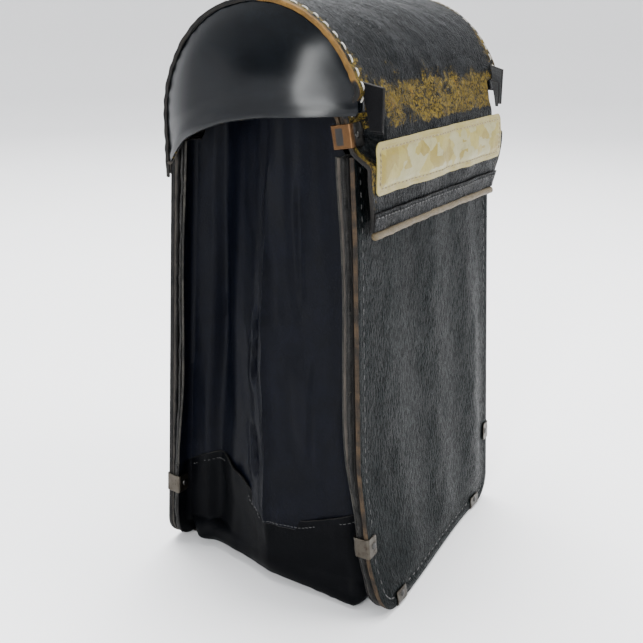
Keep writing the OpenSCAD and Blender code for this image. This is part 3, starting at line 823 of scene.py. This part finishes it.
def pinch(f, s, s0, s1, f0, f1, depth):
    """A short secondary fold that runs from (f0, s0) to (f1, s1)."""
    along = (s - s0) / (s1 - s0)
    line = f0 + (f1 - f0) * along
    window = smooth(along * 4) * smooth((1 - along) * 4)
    return depth * window * (0.6 * bell(f - line - 0.03, 0.022) - bell(f - line, 0.014))


def bellows_surface(seed):
    """The sheet as a surface over (c, s). c below 0 is the front flange and above 1 the back flange."""
    def surface(c, s):
        c, s = np.broadcast_arrays(np.asarray(c, float), np.asarray(s, float))
        x, up, out_x, out_up = seam(s)
        gap = 2 * half_gap(up)
        f = np.clip(c, 0.0, 1.0)
        t = from_mouth(s)
        body = smooth(np.minimum(f, 1 - f) * 9)
        out, near_ridge = fold(f, s)
        on_side = smooth((SIDE_LEN - t) / 0.05)
        side_seed = seed + np.where(s > HALF_LEN, 1, 0).max()
        soft = 0.0016 * waves(f * gap, t * 0.45, 0.055, side_seed)
        fine = 0.00045 * waves(f * gap, t * 0.22, 0.013, side_seed + 3)
        fine = fine * (0.5 + 0.8 * bell(f - RIDGE_AT, 0.14))
        out = out + body * (soft + fine) * (0.25 + 0.75 * on_side)
        out = out + 0.0012 * near_ridge * waves(t, 0 * t, 0.05, side_seed + 5) * on_side
        out = out + 0.0042 * np.exp(-np.abs(f - RIDGE_AT) / 0.022) * smooth((t - 0.01) / 0.04) * on_side
        out = out + body * sum(pinch(f, t, *crease) for crease in CREASES)
        out = np.minimum(out, edge_limit(t))
        beyond = np.maximum(-c, c - 1)
        flange = np.clip(beyond / 0.08, 0, 1)
        out = np.where(beyond > 0, -FLANGE_IN - 0.002 + flange * (FLANGE_IN + 0.0014), out)
        splay = gape(s) * smooth((out + 0.010) / 0.010) * flange
        across = np.where(c < 0, splay, np.where(c > 1, gap - splay, f * gap))
        rise = MOUTH_RISE * np.clip(1 - t / 0.06, 0, 1) * smooth(np.minimum(f, 1 - f) * 12 - 0.4)
        up_here = up + out * out_up + rise
        y = half_gap(up_here) * (2 * across / gap - 1)
        return stacked(x + out * out_x, y, up_here * math.cos(LEAN) + EDGE_UP)

    return surface


def edge_limit(t):
    """The furthest out that the sheet may stand at distance t, so that it stays above the floor."""
    turn = np.clip((t - SIDE_LEN) / CORNER_R, 0.35, math.pi / 2)
    limit = (CORNER_R + EDGE_UP) / np.sin(turn) - CORNER_R - GUSSET_T / 2
    return np.where(t > SIDE_LEN + 0.35 * CORNER_R, limit, 9)


BELLOWS_COLS = np.concatenate([[-0.08, -0.076], np.linspace(-0.06, 0, 5)[:-1],
                               np.linspace(0.0, 1.0, 84)[1:-1], np.linspace(1, 1.06, 5)[1:], [1.076, 1.08]])


def boot_edge(f):
    """Distance along the seam at which the boot's hem lies: low at the front, high over the rear valley."""
    places = [0, 0.07, 0.28, 0.47, 0.55, 0.63, 0.77, 0.88, 1]
    heights = np.array([0.086, 0.082, 0.068, 0.070, 0.078, 0.088, 0.098, 0.096, 0.083])
    f = np.clip(f, 0, 1)
    height = (np.interp(f - 0.025, places, heights) + np.interp(f, places, heights)
              + np.interp(f + 0.025, places, heights)) / 3
    return PANEL_H - height


def bellows_wear(c, s):
    near = bell(c - RIDGE_AT, 0.012) * 0.3
    return near + 0.1 * waves(c * 0.2, s, 0.05, 5) - 0.35


def gusset(name, right, seed, node):
    build = Build((-1 if right else 1, 1, 1))
    surface = bellows_surface(seed)

    def down(c, v):
        """v runs from 0 at the mouth to 1, a little under the boot's hem."""
        return surface(c, v * (boot_edge(c) + 0.010))

    build.slab(down, BELLOWS_COLS, spread(0, 1, 120, 0.003), GUSSET_T,
               wear=lambda c, v: bellows_wear(c, v * 0.3), shift=seed)
    return build.piece(name, [gusset_leather, flesh_side, grey_edge], "root", "gusset_leather", node)


gusset("left_gusset_bellows", False, 61, "left_gusset")
gusset("right_gusset_bellows", True, 83, "right_gusset")


def boot():
    build = Build()
    surface = bellows_surface(61)

    def around(c, v):
        """v runs from 0 at the left hem to 1 at the right hem. The hem stands proud of the gusset."""
        edge = boot_edge(c)
        s = edge + v * 2 * (HALF_LEN - edge)
        t = from_mouth(s)
        point, _, _, normal = tangents(surface, np.asarray(c, float), s)
        proud = 0.0021 * (1 - smooth((t - edge - 0.008) / 0.03)) * smooth(np.minimum(c, 1 - c) * 14)
        return point + normal * proud[..., None]

    def wear(c, v):
        return 0.2 * bell(np.minimum(v, 1 - v), 0.012) + 0.2 * bell(c - RIDGE_AT, 0.03) - 0.3

    build.slab(around, BELLOWS_COLS, spread(0, 1, 170, 0.002), GUSSET_T, wear=wear, shift=0.3)
    for low in (0.016, 1 - 0.016):
        c = np.linspace(0.03, 0.97, 58)
        centre, du, _, normal = tangents(around, c, np.full_like(c, low))
        build.stitches(centre, du, normal, 0.0026, 0.0006, kind=3, seed=7)
    return build.piece("boot_leather_shell", [boot_leather, flesh_side, black_edge, boot_thread], "root",
                       "boot_leather", "boot")


boot()


# ---------- lid leather ----------
FLAP_POINTS, ARCH_POINTS = 60, 120


def bezier(points, t):
    a, b, c, d = (np.array(p) for p in points)
    t = np.asarray(t)[:, None]
    return (1 - t) ** 3 * a + 3 * (1 - t) ** 2 * t * b + 3 * (1 - t) * t ** 2 * c + t ** 3 * d


def lid_profile():
    """The lid's outer face in the Y-Z plane: flap edge, arch, back leg, then the strip down the back."""
    leave = np.array([ARCH_Y + ARCH_OUT * math.cos(FLAP_ANGLE), ARCH_Z + ARCH_OUT * math.sin(FLAP_ANGLE)])
    pull = leave + FLAP_PULL * np.array([-math.sin(FLAP_ANGLE), math.cos(FLAP_ANGLE)])
    flap = bezier([FLAP_END, FLAP_MID, pull, leave], np.linspace(0, 1, FLAP_POINTS))
    angle = np.linspace(FLAP_ANGLE, 0, ARCH_POINTS)[1:]
    arch = np.stack([ARCH_Y + ARCH_OUT * np.cos(angle), ARCH_Z + ARCH_OUT * np.sin(angle)], axis=1)
    up = np.linspace(STRIP_TOP - 0.006, STRIP_TOP - STRIP_H, 20)
    strip = on_panel(0 * up, -LID_T - GAP, up)[:, 1:] * [-1, 1]
    points = np.concatenate([flap, arch, strip])
    return points, lengths(points)


LID_POINTS, LID_AT = lid_profile()
LID_LEN = LID_AT[-1]
FLAP_LEN = LID_AT[FLAP_POINTS - 1]
ARCH_LEN = LID_AT[FLAP_POINTS + ARCH_POINTS - 2]


def lid_place(p):
    """y and z of the profile at distance p from the flap's edge."""
    return np.interp(p, LID_AT, LID_POINTS[:, 0]), np.interp(p, LID_AT, LID_POINTS[:, 1])


def path_at_height(z):
    """Distance p on the front of the lid at height z."""
    rising = LID_AT < FLAP_LEN + 0.1
    return float(np.interp(z, LID_POINTS[rising, 1], LID_AT[rising]))


def flap_param(t):
    """Distance p of the flap at t, 0 where it leaves the arch and 1 at its edge."""
    return LID_AT[int(round((1 - t) * (FLAP_POINTS - 1)))]


def lid_half(p):
    """Half the width of the lid leather at distance p."""
    z = lid_place(p)[1]
    taper = FLAP_TAPER * smooth((0.370 - z) / 0.043) * (p < FLAP_LEN)
    return HALF_LID - taper - 0.014 * smooth((p - LID_LEN + STRIP_H) / 0.012)


def lid_surface(x, p, grip=1.0):
    """The lid's outer face. grip 0 leaves out the two places where the clips pull its edges back."""
    y, z = lid_place(p)
    step = 0.001
    y1, z1 = lid_place(p + step)
    y0, z0 = lid_place(p - step)
    dy, dz = y1 - y0, z1 - z0
    size = np.maximum(np.hypot(dy, dz), 1e-9)
    ny, nz = -dz / size, dy / size
    free = smooth(p / 0.03) * smooth((ARCH_LEN - p) / 0.06)
    side = smooth((np.abs(x) - 0.06) / 0.055)
    dents = 0.0011 * waves(x, p, 0.075, 101) + 0.00035 * waves(x + p * 0.6, p * 0.45, 0.02, 103)
    turn = bell(z - 0.425, 0.03) * (y < 0)
    dents = dents + turn * (0.0008 * waves(x * 0.35, p, 0.012, 107) - 0.0012 * (1 - side))
    off = free * dents * (1 - 0.6 * side)
    gripped = smooth((z - 0.376) / 0.014) * smooth((0.430 - z) / 0.018) * (y < 0)
    pulled = grip * 0.0148 * gripped * smooth((np.abs(x) - 0.100) / 0.010)
    return stacked(x, y + off * ny + pulled, z + off * nz)


def lid_across(u, p):
    return lid_surface(u * lid_half(p), p)


def lid_wear(u, p):
    y, z = lid_place(p)
    x = u * HALF_LID
    front = (y < 0.02) * 1.0
    low_limit = smooth((z - 0.398) / 0.006)
    plume = 0.020 * np.exp(0.35 * waves(x, 0 * x, 0.03, 109))
    turn = front * low_limit * np.exp(-np.maximum(z - 0.428, 0) / plume)
    edges = 0.85 * bell(HALF_LID - np.abs(x) - 0.004, 0.009) * smooth(p / 0.02) * front
    hinge = 0.3 * bell(z - HINGE.z, 0.009) * (y > 0)
    return np.clip(1.0 * turn + edges * (1 - turn) + hinge + 0.14 * waves(x, p, 0.045, 113) - 0.25, -0.5, 1.3)


def rim_wear(u, p):
    """The raw edge is bared over the front of the arch and dark everywhere else."""
    y, z = lid_place(p)
    return smooth((0.012 - y) / 0.03) * smooth((z - 0.430) / 0.014)


def lid():
    build = Build()
    build.slab(lid_across, np.linspace(-1, 1, 120), spread(0, LID_LEN, 200, 0.0012), LID_T,
               rounding=0.0009, wear=lid_wear, rim=rim_wear)
    obj = build.piece("lid_leather_sheet", [lid_leather, flesh_side, ochre_edge], None, "lid_leather",
                      "lid_cover", "hinge_strip")
    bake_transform(obj)
    return obj


lid()


def arch_welt(name, side, node):
    """The raw edges of the cover and the ear, sewn together round the end of the arch."""
    build = Build()
    behind = np.abs(LID_POINTS[:, 1] - 0.3615) + (LID_POINTS[:, 0] < 0)
    p = np.linspace(path_at_height(0.412), LID_AT[np.argmin(behind)], 150)
    wobble = 0.0004 * waves(p, 0 * p, 0.012, 131 + side)
    turn = circle(12)
    rings = []
    for angle in turn:
        c, q = squared(angle, 0.7, 0.7)
        x = side * (HALF_LID + 0.0004 + 0.0009 * c + (wobble if c > 0 else 0))
        point, _, _, normal = tangents(lid_surface, x * np.ones_like(p), p)
        rings.append(point - normal * (LID_T / 2 + 0.0004 - 0.0018 * q))
    rings = np.stack(rings, axis=1)
    worn = np.concatenate([[0, 0], rim_wear(0, p), [0, 0]])
    build.sweep(rings if side > 0 else rings[:, ::-1], wear=np.repeat(worn, len(turn)), shift=side)
    return build.piece(name, [ochre_edge], "lid", "raw_edge", node)


arch_welt("left_arch_raw_edge", -1, "left_arch_welt")
arch_welt("right_arch_raw_edge", 1, "right_arch_welt")


def arch_stitches(name, side, node):
    build = Build()
    first, last = path_at_height(0.404), ARCH_LEN + 0.03
    count = int((last - first) / 0.0098)
    p = np.linspace(first, last, count)
    centre, _, dv, normal = tangents(lid_surface, side * (HALF_LID - 0.0052) * np.ones_like(p), p)
    build.stitches(centre, dv, normal, 0.0072, 0.0016, seed=17 + side)
    return build.piece(name, [white_thread], "lid", "pale_thread", node)


arch_stitches("left_arch_threads", -1, "left_arch_stitches")
arch_stitches("right_arch_threads", 1, "right_arch_stitches")


def hinge_stitches():
    build = Build()
    x = np.linspace(-HALF_W + 0.022, HALF_W - 0.022, 26)
    for below in (0.014, STRIP_H - 0.008):
        p = np.full_like(x, LID_LEN - STRIP_H + below)
        centre, du, _, normal = tangents(lid_surface, x, p)
        build.stitches(centre, du, normal, 0.0060, 0.0012, seed=19)
    return build.piece("hinge_threads", [waxed_thread], "root", "waxed_thread", "hinge_stitches")


hinge_stitches()


# ---------- ears ----------
EAR_EDGE = np.array([(-0.0895, 0.4135), (-0.075, 0.4125), (-0.045, 0.4105), (-0.022, 0.4095), (0.009, 0.4045),
                     (0.034, 0.3965), (0.057, 0.3875), (0.074, 0.3745), (0.0875, 0.3625)])


def ear_boundaries(t):
    """The free lower edge and the sewn outer edge at t, 0 at the back and 1 at the front."""
    low_y = EAR_EDGE[0, 0] + (EAR_EDGE[-1, 0] - EAR_EDGE[0, 0]) * (1 - t)
    low_z = (np.interp(low_y - 0.004, EAR_EDGE[:, 0], EAR_EDGE[:, 1])
             + np.interp(low_y + 0.004, EAR_EDGE[:, 0], EAR_EDGE[:, 1])) / 2
    leg = ARCH_Z - EAR_EDGE[-1, 1]
    front_angle = math.radians(171.5)
    total = leg + EAR_R * front_angle
    along = t * total
    angle = np.clip((along - leg) / EAR_R, 0, front_angle)
    high_y = ARCH_Y + EAR_R * np.cos(angle)
    high_z = np.where(along < leg, EAR_EDGE[-1, 1] + along, ARCH_Z + EAR_R * np.sin(angle))
    return low_y, low_z, high_y, high_z


def ear_surface(t, v):
    """v runs from 0 at the free edge to 1 at the seam, and on to 1.14 as the flange under the cover."""
    t, v = np.broadcast_arrays(np.asarray(t, float), np.asarray(v, float))
    low_y, low_z, high_y, high_z = ear_boundaries(t)
    k = np.clip(v, 0, 1)
    y, z = low_y + (high_y - low_y) * k, low_z + (high_z - low_z) * k
    r = np.where(z > ARCH_Z, np.hypot(y - ARCH_Y, z - ARCH_Z), np.abs(y - ARCH_Y))
    dome = (EAR_R ** 2 + EAR_BULGE ** 2) / (2 * EAR_BULGE)
    bulge = EAR_BULGE - dome + np.sqrt(np.maximum(dome ** 2 - r ** 2, 0))
    bulge = np.maximum(bulge, 0) * (0.96 + 0.04 * smooth(v * 3))
    width = np.hypot(high_y - low_y, high_z - low_z)
    from_lip = k * width
    lip = 0.0007 * bell(from_lip - 0.004, 0.004) - 0.0006 * bell(from_lip - 0.013, 0.006)
    dents = 0.0006 * waves(y, z, 0.07, 151) * smooth(k * 4) * smooth((1 - k) * 4)
    pull = -0.0006 * bell(np.hypot(y + 0.060, z - 0.424), 0.014)
    flange = np.clip(v - 1, 0, 1) * 0.08
    return stacked(-HALF_LID - bulge - lip - dents - pull + flange, y, z)


def clip_frame_lid(x_in, depth, across):
    """A point of the lid clip's own axes: x_in from the side, depth to the back and across upwards."""
    c, s = math.cos(LID_CLIP_TILT), math.sin(LID_CLIP_TILT)
    depth = depth - LID_CLIP_D / 2
    return stacked(-HALF_LID + x_in, LID_CLIP_Y + depth * c - across * s, LID_CLIP_Z + depth * s + across * c)


def ear(name, side, node):
    build = Build((side, 1, 1))
    cols = spread(0.004, 0.996, 90, 0.004)
    rows = np.concatenate([[0, 0.01], np.linspace(0.03, 0.97, 34), [0.99, 1, 1.03, 1.08, 1.14]])
    build.slab(ear_surface, cols, rows, EAR_T, rounding=0.0008, wear=lambda t, v: 0.3 * bell(v, 0.05))
    layers = 3
    for i in range(layers):
        leaf = (LID_CLIP_D - LID_T - 0.0008) / layers
        depth = LID_T + 0.0008 + i * leaf

        def corner(across, x_in, depth=depth, i=i):
            lean_in = np.clip(across - 0.011, 0, 1) * 0.35
            curl = 0.0006 * np.sin(across * 160 + i * 2)
            return clip_frame_lid(x_in, depth + lean_in + curl * smooth((across - 0.009) / 0.006), across)

        build.slab(corner, spread(-CLIP_W / 2 + 0.0004, 0.026 - 0.003 * i, 12, 0.0008),
                   spread(0.0004 * (i % 2), CLIP_LEG + 0.0015, 6, 0.0008), leaf - 0.0004,
                   kinds=(2, 2, 3), shift=i)
    return build.piece(name, [ear_leather, flesh_side, lid_leather, brown_edge], "lid", "ear_leather", node)


ear("left_ear_dome", 1, "left_ear")
ear("right_ear_dome", -1, "right_ear")


# ---------- flap: label, hem and piping ----------
def raised(surface, height):
    """The surface lifted along its normal by height(u, v)."""
    def lifted(u, v):
        point, _, _, normal = tangents(surface, u, v)
        return point + normal * np.asarray(height(u, v))[..., None]
    return lifted


LABEL_L, LABEL_R = 0.237, 0.006
LABEL_LOW, LABEL_HIGH = flap_param(0.745), flap_param(0.37)
FOLD_T = 0.0012


def label_outline(v):
    """Half the label's width at height v, with all four corners rounded."""
    from_end = np.minimum(v - LABEL_LOW, LABEL_HIGH - v)
    return outline_half(np.clip(from_end, 1e-7, LABEL_R), LABEL_R, LABEL_L / 2)


def label_rise(x, p):
    inset = np.minimum(LABEL_L / 2 - np.abs(x), np.minimum(p - LABEL_LOW, LABEL_HIGH - p))
    pad = 0.0007 * smooth((inset - 0.005) / 0.006) - 0.0003 * bell(inset - 0.005, 0.0014)
    return FOLD_T + GAP / 2 + pad + 0.00025 * waves(x, p, 0.03, 171)


def label():
    build = Build()
    surface = raised(lambda x, p: lid_surface(x, p, 0.0), label_rise)
    corner = LABEL_R * (1 - np.cos(np.linspace(0, math.pi / 2, 7)))
    straight = np.linspace(LABEL_LOW + LABEL_R, LABEL_HIGH - LABEL_R, 18)[1:-1]
    rows = np.concatenate([LABEL_LOW + corner, straight, LABEL_HIGH - corner[::-1]])

    def wear(u, v):
        inset = np.minimum((1 - np.abs(u)) * LABEL_L / 2, np.minimum(v - LABEL_LOW, LABEL_HIGH - v))
        return bell(inset, 0.0025) + 0.6 * bell(inset - 0.005, 0.0012)

    build.slab(lambda u, v: surface(u * label_outline(v), v), np.linspace(-1, 1, 110), rows, FOLD_T,
               kinds=(0, 0, 0), rounding=0.0005, wear=wear)
    build.piece("label_patch_vinyl", [label_vinyl], "lid", "label_vinyl", "label_patch")

    stitches = Build()
    edge = 0.005
    x = np.linspace(-LABEL_L / 2 + 0.009, LABEL_L / 2 - 0.009, 40)
    for v in (LABEL_LOW + edge, LABEL_HIGH - edge):
        centre, du, _, normal = tangents(surface, x, np.full_like(x, v))
        stitches.stitches(centre, du, normal, 0.0038, 0.0009, seed=23)
    v = np.linspace(LABEL_LOW + 0.009, LABEL_HIGH - 0.009, 6)
    for side in (-1, 1):
        centre, _, dv, normal = tangents(surface, np.full_like(v, side * (LABEL_L / 2 - edge)), v)
        stitches.stitches(centre, dv, normal, 0.0038, 0.0009, seed=29)
    stitches.piece("label_threads", [label_thread], "lid", "label_thread", "label_stitches")


label()


def hem():
    """The turned-up lower edge of the flap, sewn along its top."""
    build = Build()
    top = flap_param(0.86)
    surface = raised(lid_surface, lambda x, p: FOLD_T + GAP / 2 + 0.0005 * bell(p - top + 0.002, 0.004)
                     + 0.0003 * waves(x, p, 0.02, 181))
    rows = spread(0.0006, top, 10, 0.0008)
    build.slab(lambda u, v: surface(u * (lid_half(v) - 0.0004), v), np.linspace(-1, 1, 90), rows, FOLD_T,
               rounding=0.0005, wear=lambda u, v: 0.25 * bell(v - top, 0.003) - 0.25)
    x = np.linspace(-HALF_LID + 0.014, HALF_LID - 0.014, 44)
    centre, du, _, normal = tangents(surface, x, np.full_like(x, top - 0.0035))
    build.stitches(centre, du, normal, 0.0040, 0.0010, kind=3, seed=31)
    return build.piece("flap_hem_leather", [lid_leather, flesh_side, black_edge, waxed_thread], "lid",
                       "lid_leather", "flap_hem")


hem()


def piping():
    build = Build()
    radius = 0.0031
    half = HALF_LID - FLAP_TAPER - 0.003
    sway = 0.0012
    x = np.linspace(-half, half, 140)
    low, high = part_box("flap_piping")
    y = (low[1] + high[1]) / 2 - 0.002 + 0.0004 * waves(x, 0 * x, 0.05, 191)
    z = (low[2] + high[2]) / 2 + sway * (1 - (x / half) ** 2) + 0.0003 * waves(x, 0 * x, 0.03, 193)
    pinched = 1 + 0.05 * waves(x, 0 * x, 0.011, 197)
    rings = np.stack([stacked(x, y + radius * math.cos(a) * pinched, z + radius * math.sin(a) * pinched)
                      for a in circle(16)], axis=1)
    build.sweep(rings)
    return build.piece("flap_piping_roll", [piping_leather], "lid", "tan_piping", "flap_piping")


piping()


# ---------- strap chapes ----------
def chape(name, side, reach, leather_kind, node):
    """Two leaves of strap leather that stand out of the arch seam, cut off square with a sloping top."""
    build = Build((side, 1, 1))
    for x, thick, out, low, high, drop in ((-0.1170, 0.003, reach, 0.4025, 0.4365, 0.0035),
                                           (-0.1138, 0.002, reach - 0.0015, 0.4005, 0.424, 0.002)):
        front = -0.092 - out

        def leaf(u, v, x=x, front=front, low=low, high=high, drop=drop):
            """u runs from 0 at the cut front edge to 1 inside the lid, and v up from the lower edge."""
            z = low + v * (high - low - drop * (1 - u))
            p = np.interp(z, LID_POINTS[:FLAP_POINTS, 1], LID_AT[:FLAP_POINTS])
            root = lid_place(p)[0] + 0.002
            y = front + (root - front) * u
            sway = 0.0006 * np.sin(z * 90) + 0.0008 * smooth(1 - u)
            return stacked(x + sway * 0.5, y, z)

        build.slab(leaf, spread(0, 1, 9, 0.05), spread(0, 1, 16, 0.02), thick, kinds=(0, 0, 1),
                   wear=lambda u, v: 0.3 * bell(u, 0.1) - 0.2, shift=x)
    return build.piece(name, [leather_kind, black_edge], "lid", "strap_leather", node)


chape("left_chape_leaves", 1, 0.0135, strap_leather, "left_strap_chape")
# The far chape takes the painted-lit grey copy of the strap leather.
chape("right_chape_leaves", -1, 0.0080, painted_lit_strap_leather, "right_strap_chape")


# ---------- clips and rivets ----------
def bent_strip(build, place, depth, leg, seed):
    """A metal strip bent round a stack of that depth: leg, web and leg. place puts it on its seam."""
    rng = np.random.default_rng(seed)
    skew, flare = rng.uniform(-0.06, 0.06), rng.uniform(0.0, 0.0005)
    bend = 0.0022
    low, high = -CLIP_T - GAP, depth + CLIP_T + GAP
    turn = np.linspace(0, math.pi / 2, 7)
    web = -CLIP_T - GAP
    front_leg = [(x, low) for x in np.linspace(leg, web + bend, 6)]
    first = [(web + bend - bend * math.sin(a), low + bend - bend * math.cos(a)) for a in turn[1:]]
    middle = [(web, d) for d in np.linspace(low + bend, high - bend, 5)[1:-1]]
    second = [(web + bend - bend * math.cos(a), high - bend + bend * math.sin(a)) for a in turn]
    back_leg = [(x, high) for x in np.linspace(web + bend, leg, 6)[1:]]
    path = np.array(front_leg + first + middle + second + back_leg)
    at = lengths(path)

    def surface(across, p):
        x_in, d = np.interp(p, at, path[:, 0]), np.interp(p, at, path[:, 1])
        end = np.minimum(p, at[-1] - p)
        corner = 1 - 0.10 * smooth((0.0025 - end) / 0.0025)
        across = across * corner + skew * (x_in - 0.004)
        out = np.where(d > depth / 2, 1, -1) * (flare * smooth((0.006 - end) / 0.006)
                                               + 0.00012 * waves(across, p, 0.008, seed))
        return place(x_in, d + out, across)

    def wear(across, p):
        band = smooth((p - at[-1] * 0.47) / 0.001) * smooth((at[-1] * 0.60 - p) / 0.001)
        return band * smooth((CLIP_W / 2 - 0.0015 - np.abs(across)) / 0.001) + 1.0 * (p < leg - 0.001)

    build.slab(surface, spread(-CLIP_W / 2, CLIP_W / 2, 12, 0.0006), at, CLIP_T, kinds=(0, 0, 0),
               rounding=0.0004, wear=wear, shift=seed)


def seam_place(s):
    """Places a clip's axes on the front seam at distance s."""
    x, up, out_x, out_up = (float(value) for value in seam(np.array(s)))

    def place(x_in, depth, across):
        return on_panel(x - x_in * out_x + across * out_up, depth, up - x_in * out_up - across * out_x)

    return place


def rivet_heads(build, place, stack, seed, mirror=(1, 1, 1)):
    """The two heads of the rivet through a clip and the stack that it holds."""
    for depth, sign in ((-CLIP_T - GAP, -1), (stack + CLIP_T + GAP, 1)):
        centre = place(RIVET_IN, depth, 0.0)
        axis = place(RIVET_IN, depth + sign, 0.0) - centre
        build.dome(centre * mirror, axis * mirror, RIVET_R, RIVET_RISE, seed)


def seam_clips(side, label):
    names = ("left_clip", "left_base_clip", "right_base_clip", "right_clip")
    rivets = Build((1, side, 1))
    for i, (s, name) in enumerate(zip(CLIP_PLACES, names)):
        build = Build((1, side, 1))
        place = seam_place(s)
        bent_strip(build, place, STACK_T, CLIP_LEG, seed=201 + i + (side < 0) * 10)
        node = f"{label}_{name}"
        build.piece(f"{node}_strip", [nickel], "root", "nickel_clip", node)
        rivet_heads(rivets, place, STACK_T, i)
    rivets.piece(f"{label}_rivet_heads", [dark_steel], "root", "rivet_steel", f"{label}_clip_rivets")


seam_clips(1, "front")
seam_clips(-1, "back")


def lid_clips():
    heads = Build()
    for side, label in ((1, "left"), (-1, "right")):
        build = Build((side, 1, 1))
        bent_strip(build, clip_frame_lid, LID_CLIP_D, LID_CLIP_LEG, seed=231 + side)
        build.piece(f"{label}_lid_clip_strip", [lacquer], "lid", "lacquered_clip", f"{label}_lid_clip")
        rivet_heads(heads, clip_frame_lid, LID_CLIP_D, 41 + side, (side, 1, 1))
    heads.piece("lid_rivet_heads", [dark_steel], "lid", "rivet_steel", "lid_clip_rivets")


lid_clips()


# ---------- floor, light and camera ----------
def stage_floor():
    s = Shader("paper_floor", Roughness=0.9)
    mottle = s.noise(0.4, (1, 1, 1), 3, 0.5)
    s.finish(s.mix(mottle, (0.83, 0.83, 0.84), (0.86, 0.86, 0.87)), 0.9, s.bump(mottle, 0.0001))
    build = Build()
    reach = np.array([0.001, 0.5, 1.0, 2.0, 3.0, 3.6, 4.0, 4.25, 4.4, 4.45, 4.5])
    height = np.array([0, 0, 0, 0, 0, 0.08, 0.3, 0.65, 1.1, 1.6, 2.2])
    sides, sunk = 64, 0.0002
    rings = np.array([[(r * math.cos(a), r * math.sin(a), h - sunk) for a in circle(sides)]
                      for r, h in zip(reach, height)])
    quads, first, _ = tube(len(rings), sides, turned=True)
    build.add(rings, quads + [first], 0, rings)
    obj = build.piece("studio_floor", [s.material], None, "floor")


stage_floor()


def area_light(name, location, target, size, power, colour=(1, 1, 1)):
    light = bpy.data.lights.new(name, "AREA")
    light.shape = "RECTANGLE"
    light.size, light.size_y = size
    light.energy = power
    light.color = colour
    obj = bpy.data.objects.new(name, light)
    obj.location = location
    obj.rotation_euler = (Vector(target) - Vector(location)).to_track_quat("-Z", "Y").to_euler()
    obj.visible_camera = False
    bpy.context.collection.objects.link(obj)


area_light("key", (1.0, -2.0, 1.7), (0, 0, 0.25), (1.2, 1.2), 55, (1.0, 0.99, 0.97))
area_light("top", (0.5, 0.5, 2.6), (0, 0, 0.2), (2.0, 2.0), 215)
area_light("strip", (-2.1, -0.45, 1.05), (-0.1, 0, 0.42), (0.34, 2.0), 50, (0.98, 1.0, 1.0))


def sky():
    """Soft room light, brighter from the right and behind than from the upper left."""
    world = bpy.data.worlds.new("studio")
    bpy.context.scene.world = world
    world.use_nodes = True
    nodes, links = world.node_tree.nodes, world.node_tree.links
    towards = nodes.new("ShaderNodeTexCoord")
    side = nodes.new("ShaderNodeVectorMath")
    side.operation = "DOT_PRODUCT"
    side.inputs[1].default_value = (0.62, 0.35, 0.70)
    strength = nodes.new("ShaderNodeMapRange")
    for key, number in (("From Min", 0.0), ("From Max", 0.95), ("To Min", 0.12), ("To Max", 2.2)):
        strength.inputs[key].default_value = number
    links.new(towards.outputs["Generated"], side.inputs[0])
    links.new(side.outputs["Value"], strength.inputs["Value"])
    links.new(strength.outputs["Result"], nodes["Background"].inputs["Strength"])
    nodes["Background"].inputs["Color"].default_value = (0.95, 0.97, 1.0, 1)


sky()


CAMERA_AT = (-0.7021, -0.4185, 0.4890)
CAMERA_TURN = (31.870, 19.062, 0.5005)
LENS, SENSOR = 51.695, 36


def camera():
    """Looks along yaw degrees from +X towards +Y, pitch degrees down, and leans by roll."""
    yaw, pitch, roll = (math.radians(angle) for angle in CAMERA_TURN)
    forward = Vector((math.cos(pitch) * math.cos(yaw), math.cos(pitch) * math.sin(yaw), -math.sin(pitch)))
    right = Vector((math.sin(yaw), -math.cos(yaw), 0))
    above = right.cross(forward)
    x_axis = math.cos(roll) * right + math.sin(roll) * above
    y_axis = -math.sin(roll) * right + math.cos(roll) * above
    data = bpy.data.cameras.new("camera")
    data.lens = LENS
    data.sensor_width = SENSOR
    obj = bpy.data.objects.new("camera", data)
    turn = Matrix((x_axis, y_axis, -forward)).transposed().to_4x4()
    obj.matrix_world = Matrix.Translation(CAMERA_AT) @ turn
    bpy.context.collection.objects.link(obj)
    bpy.context.scene.camera = obj


camera()
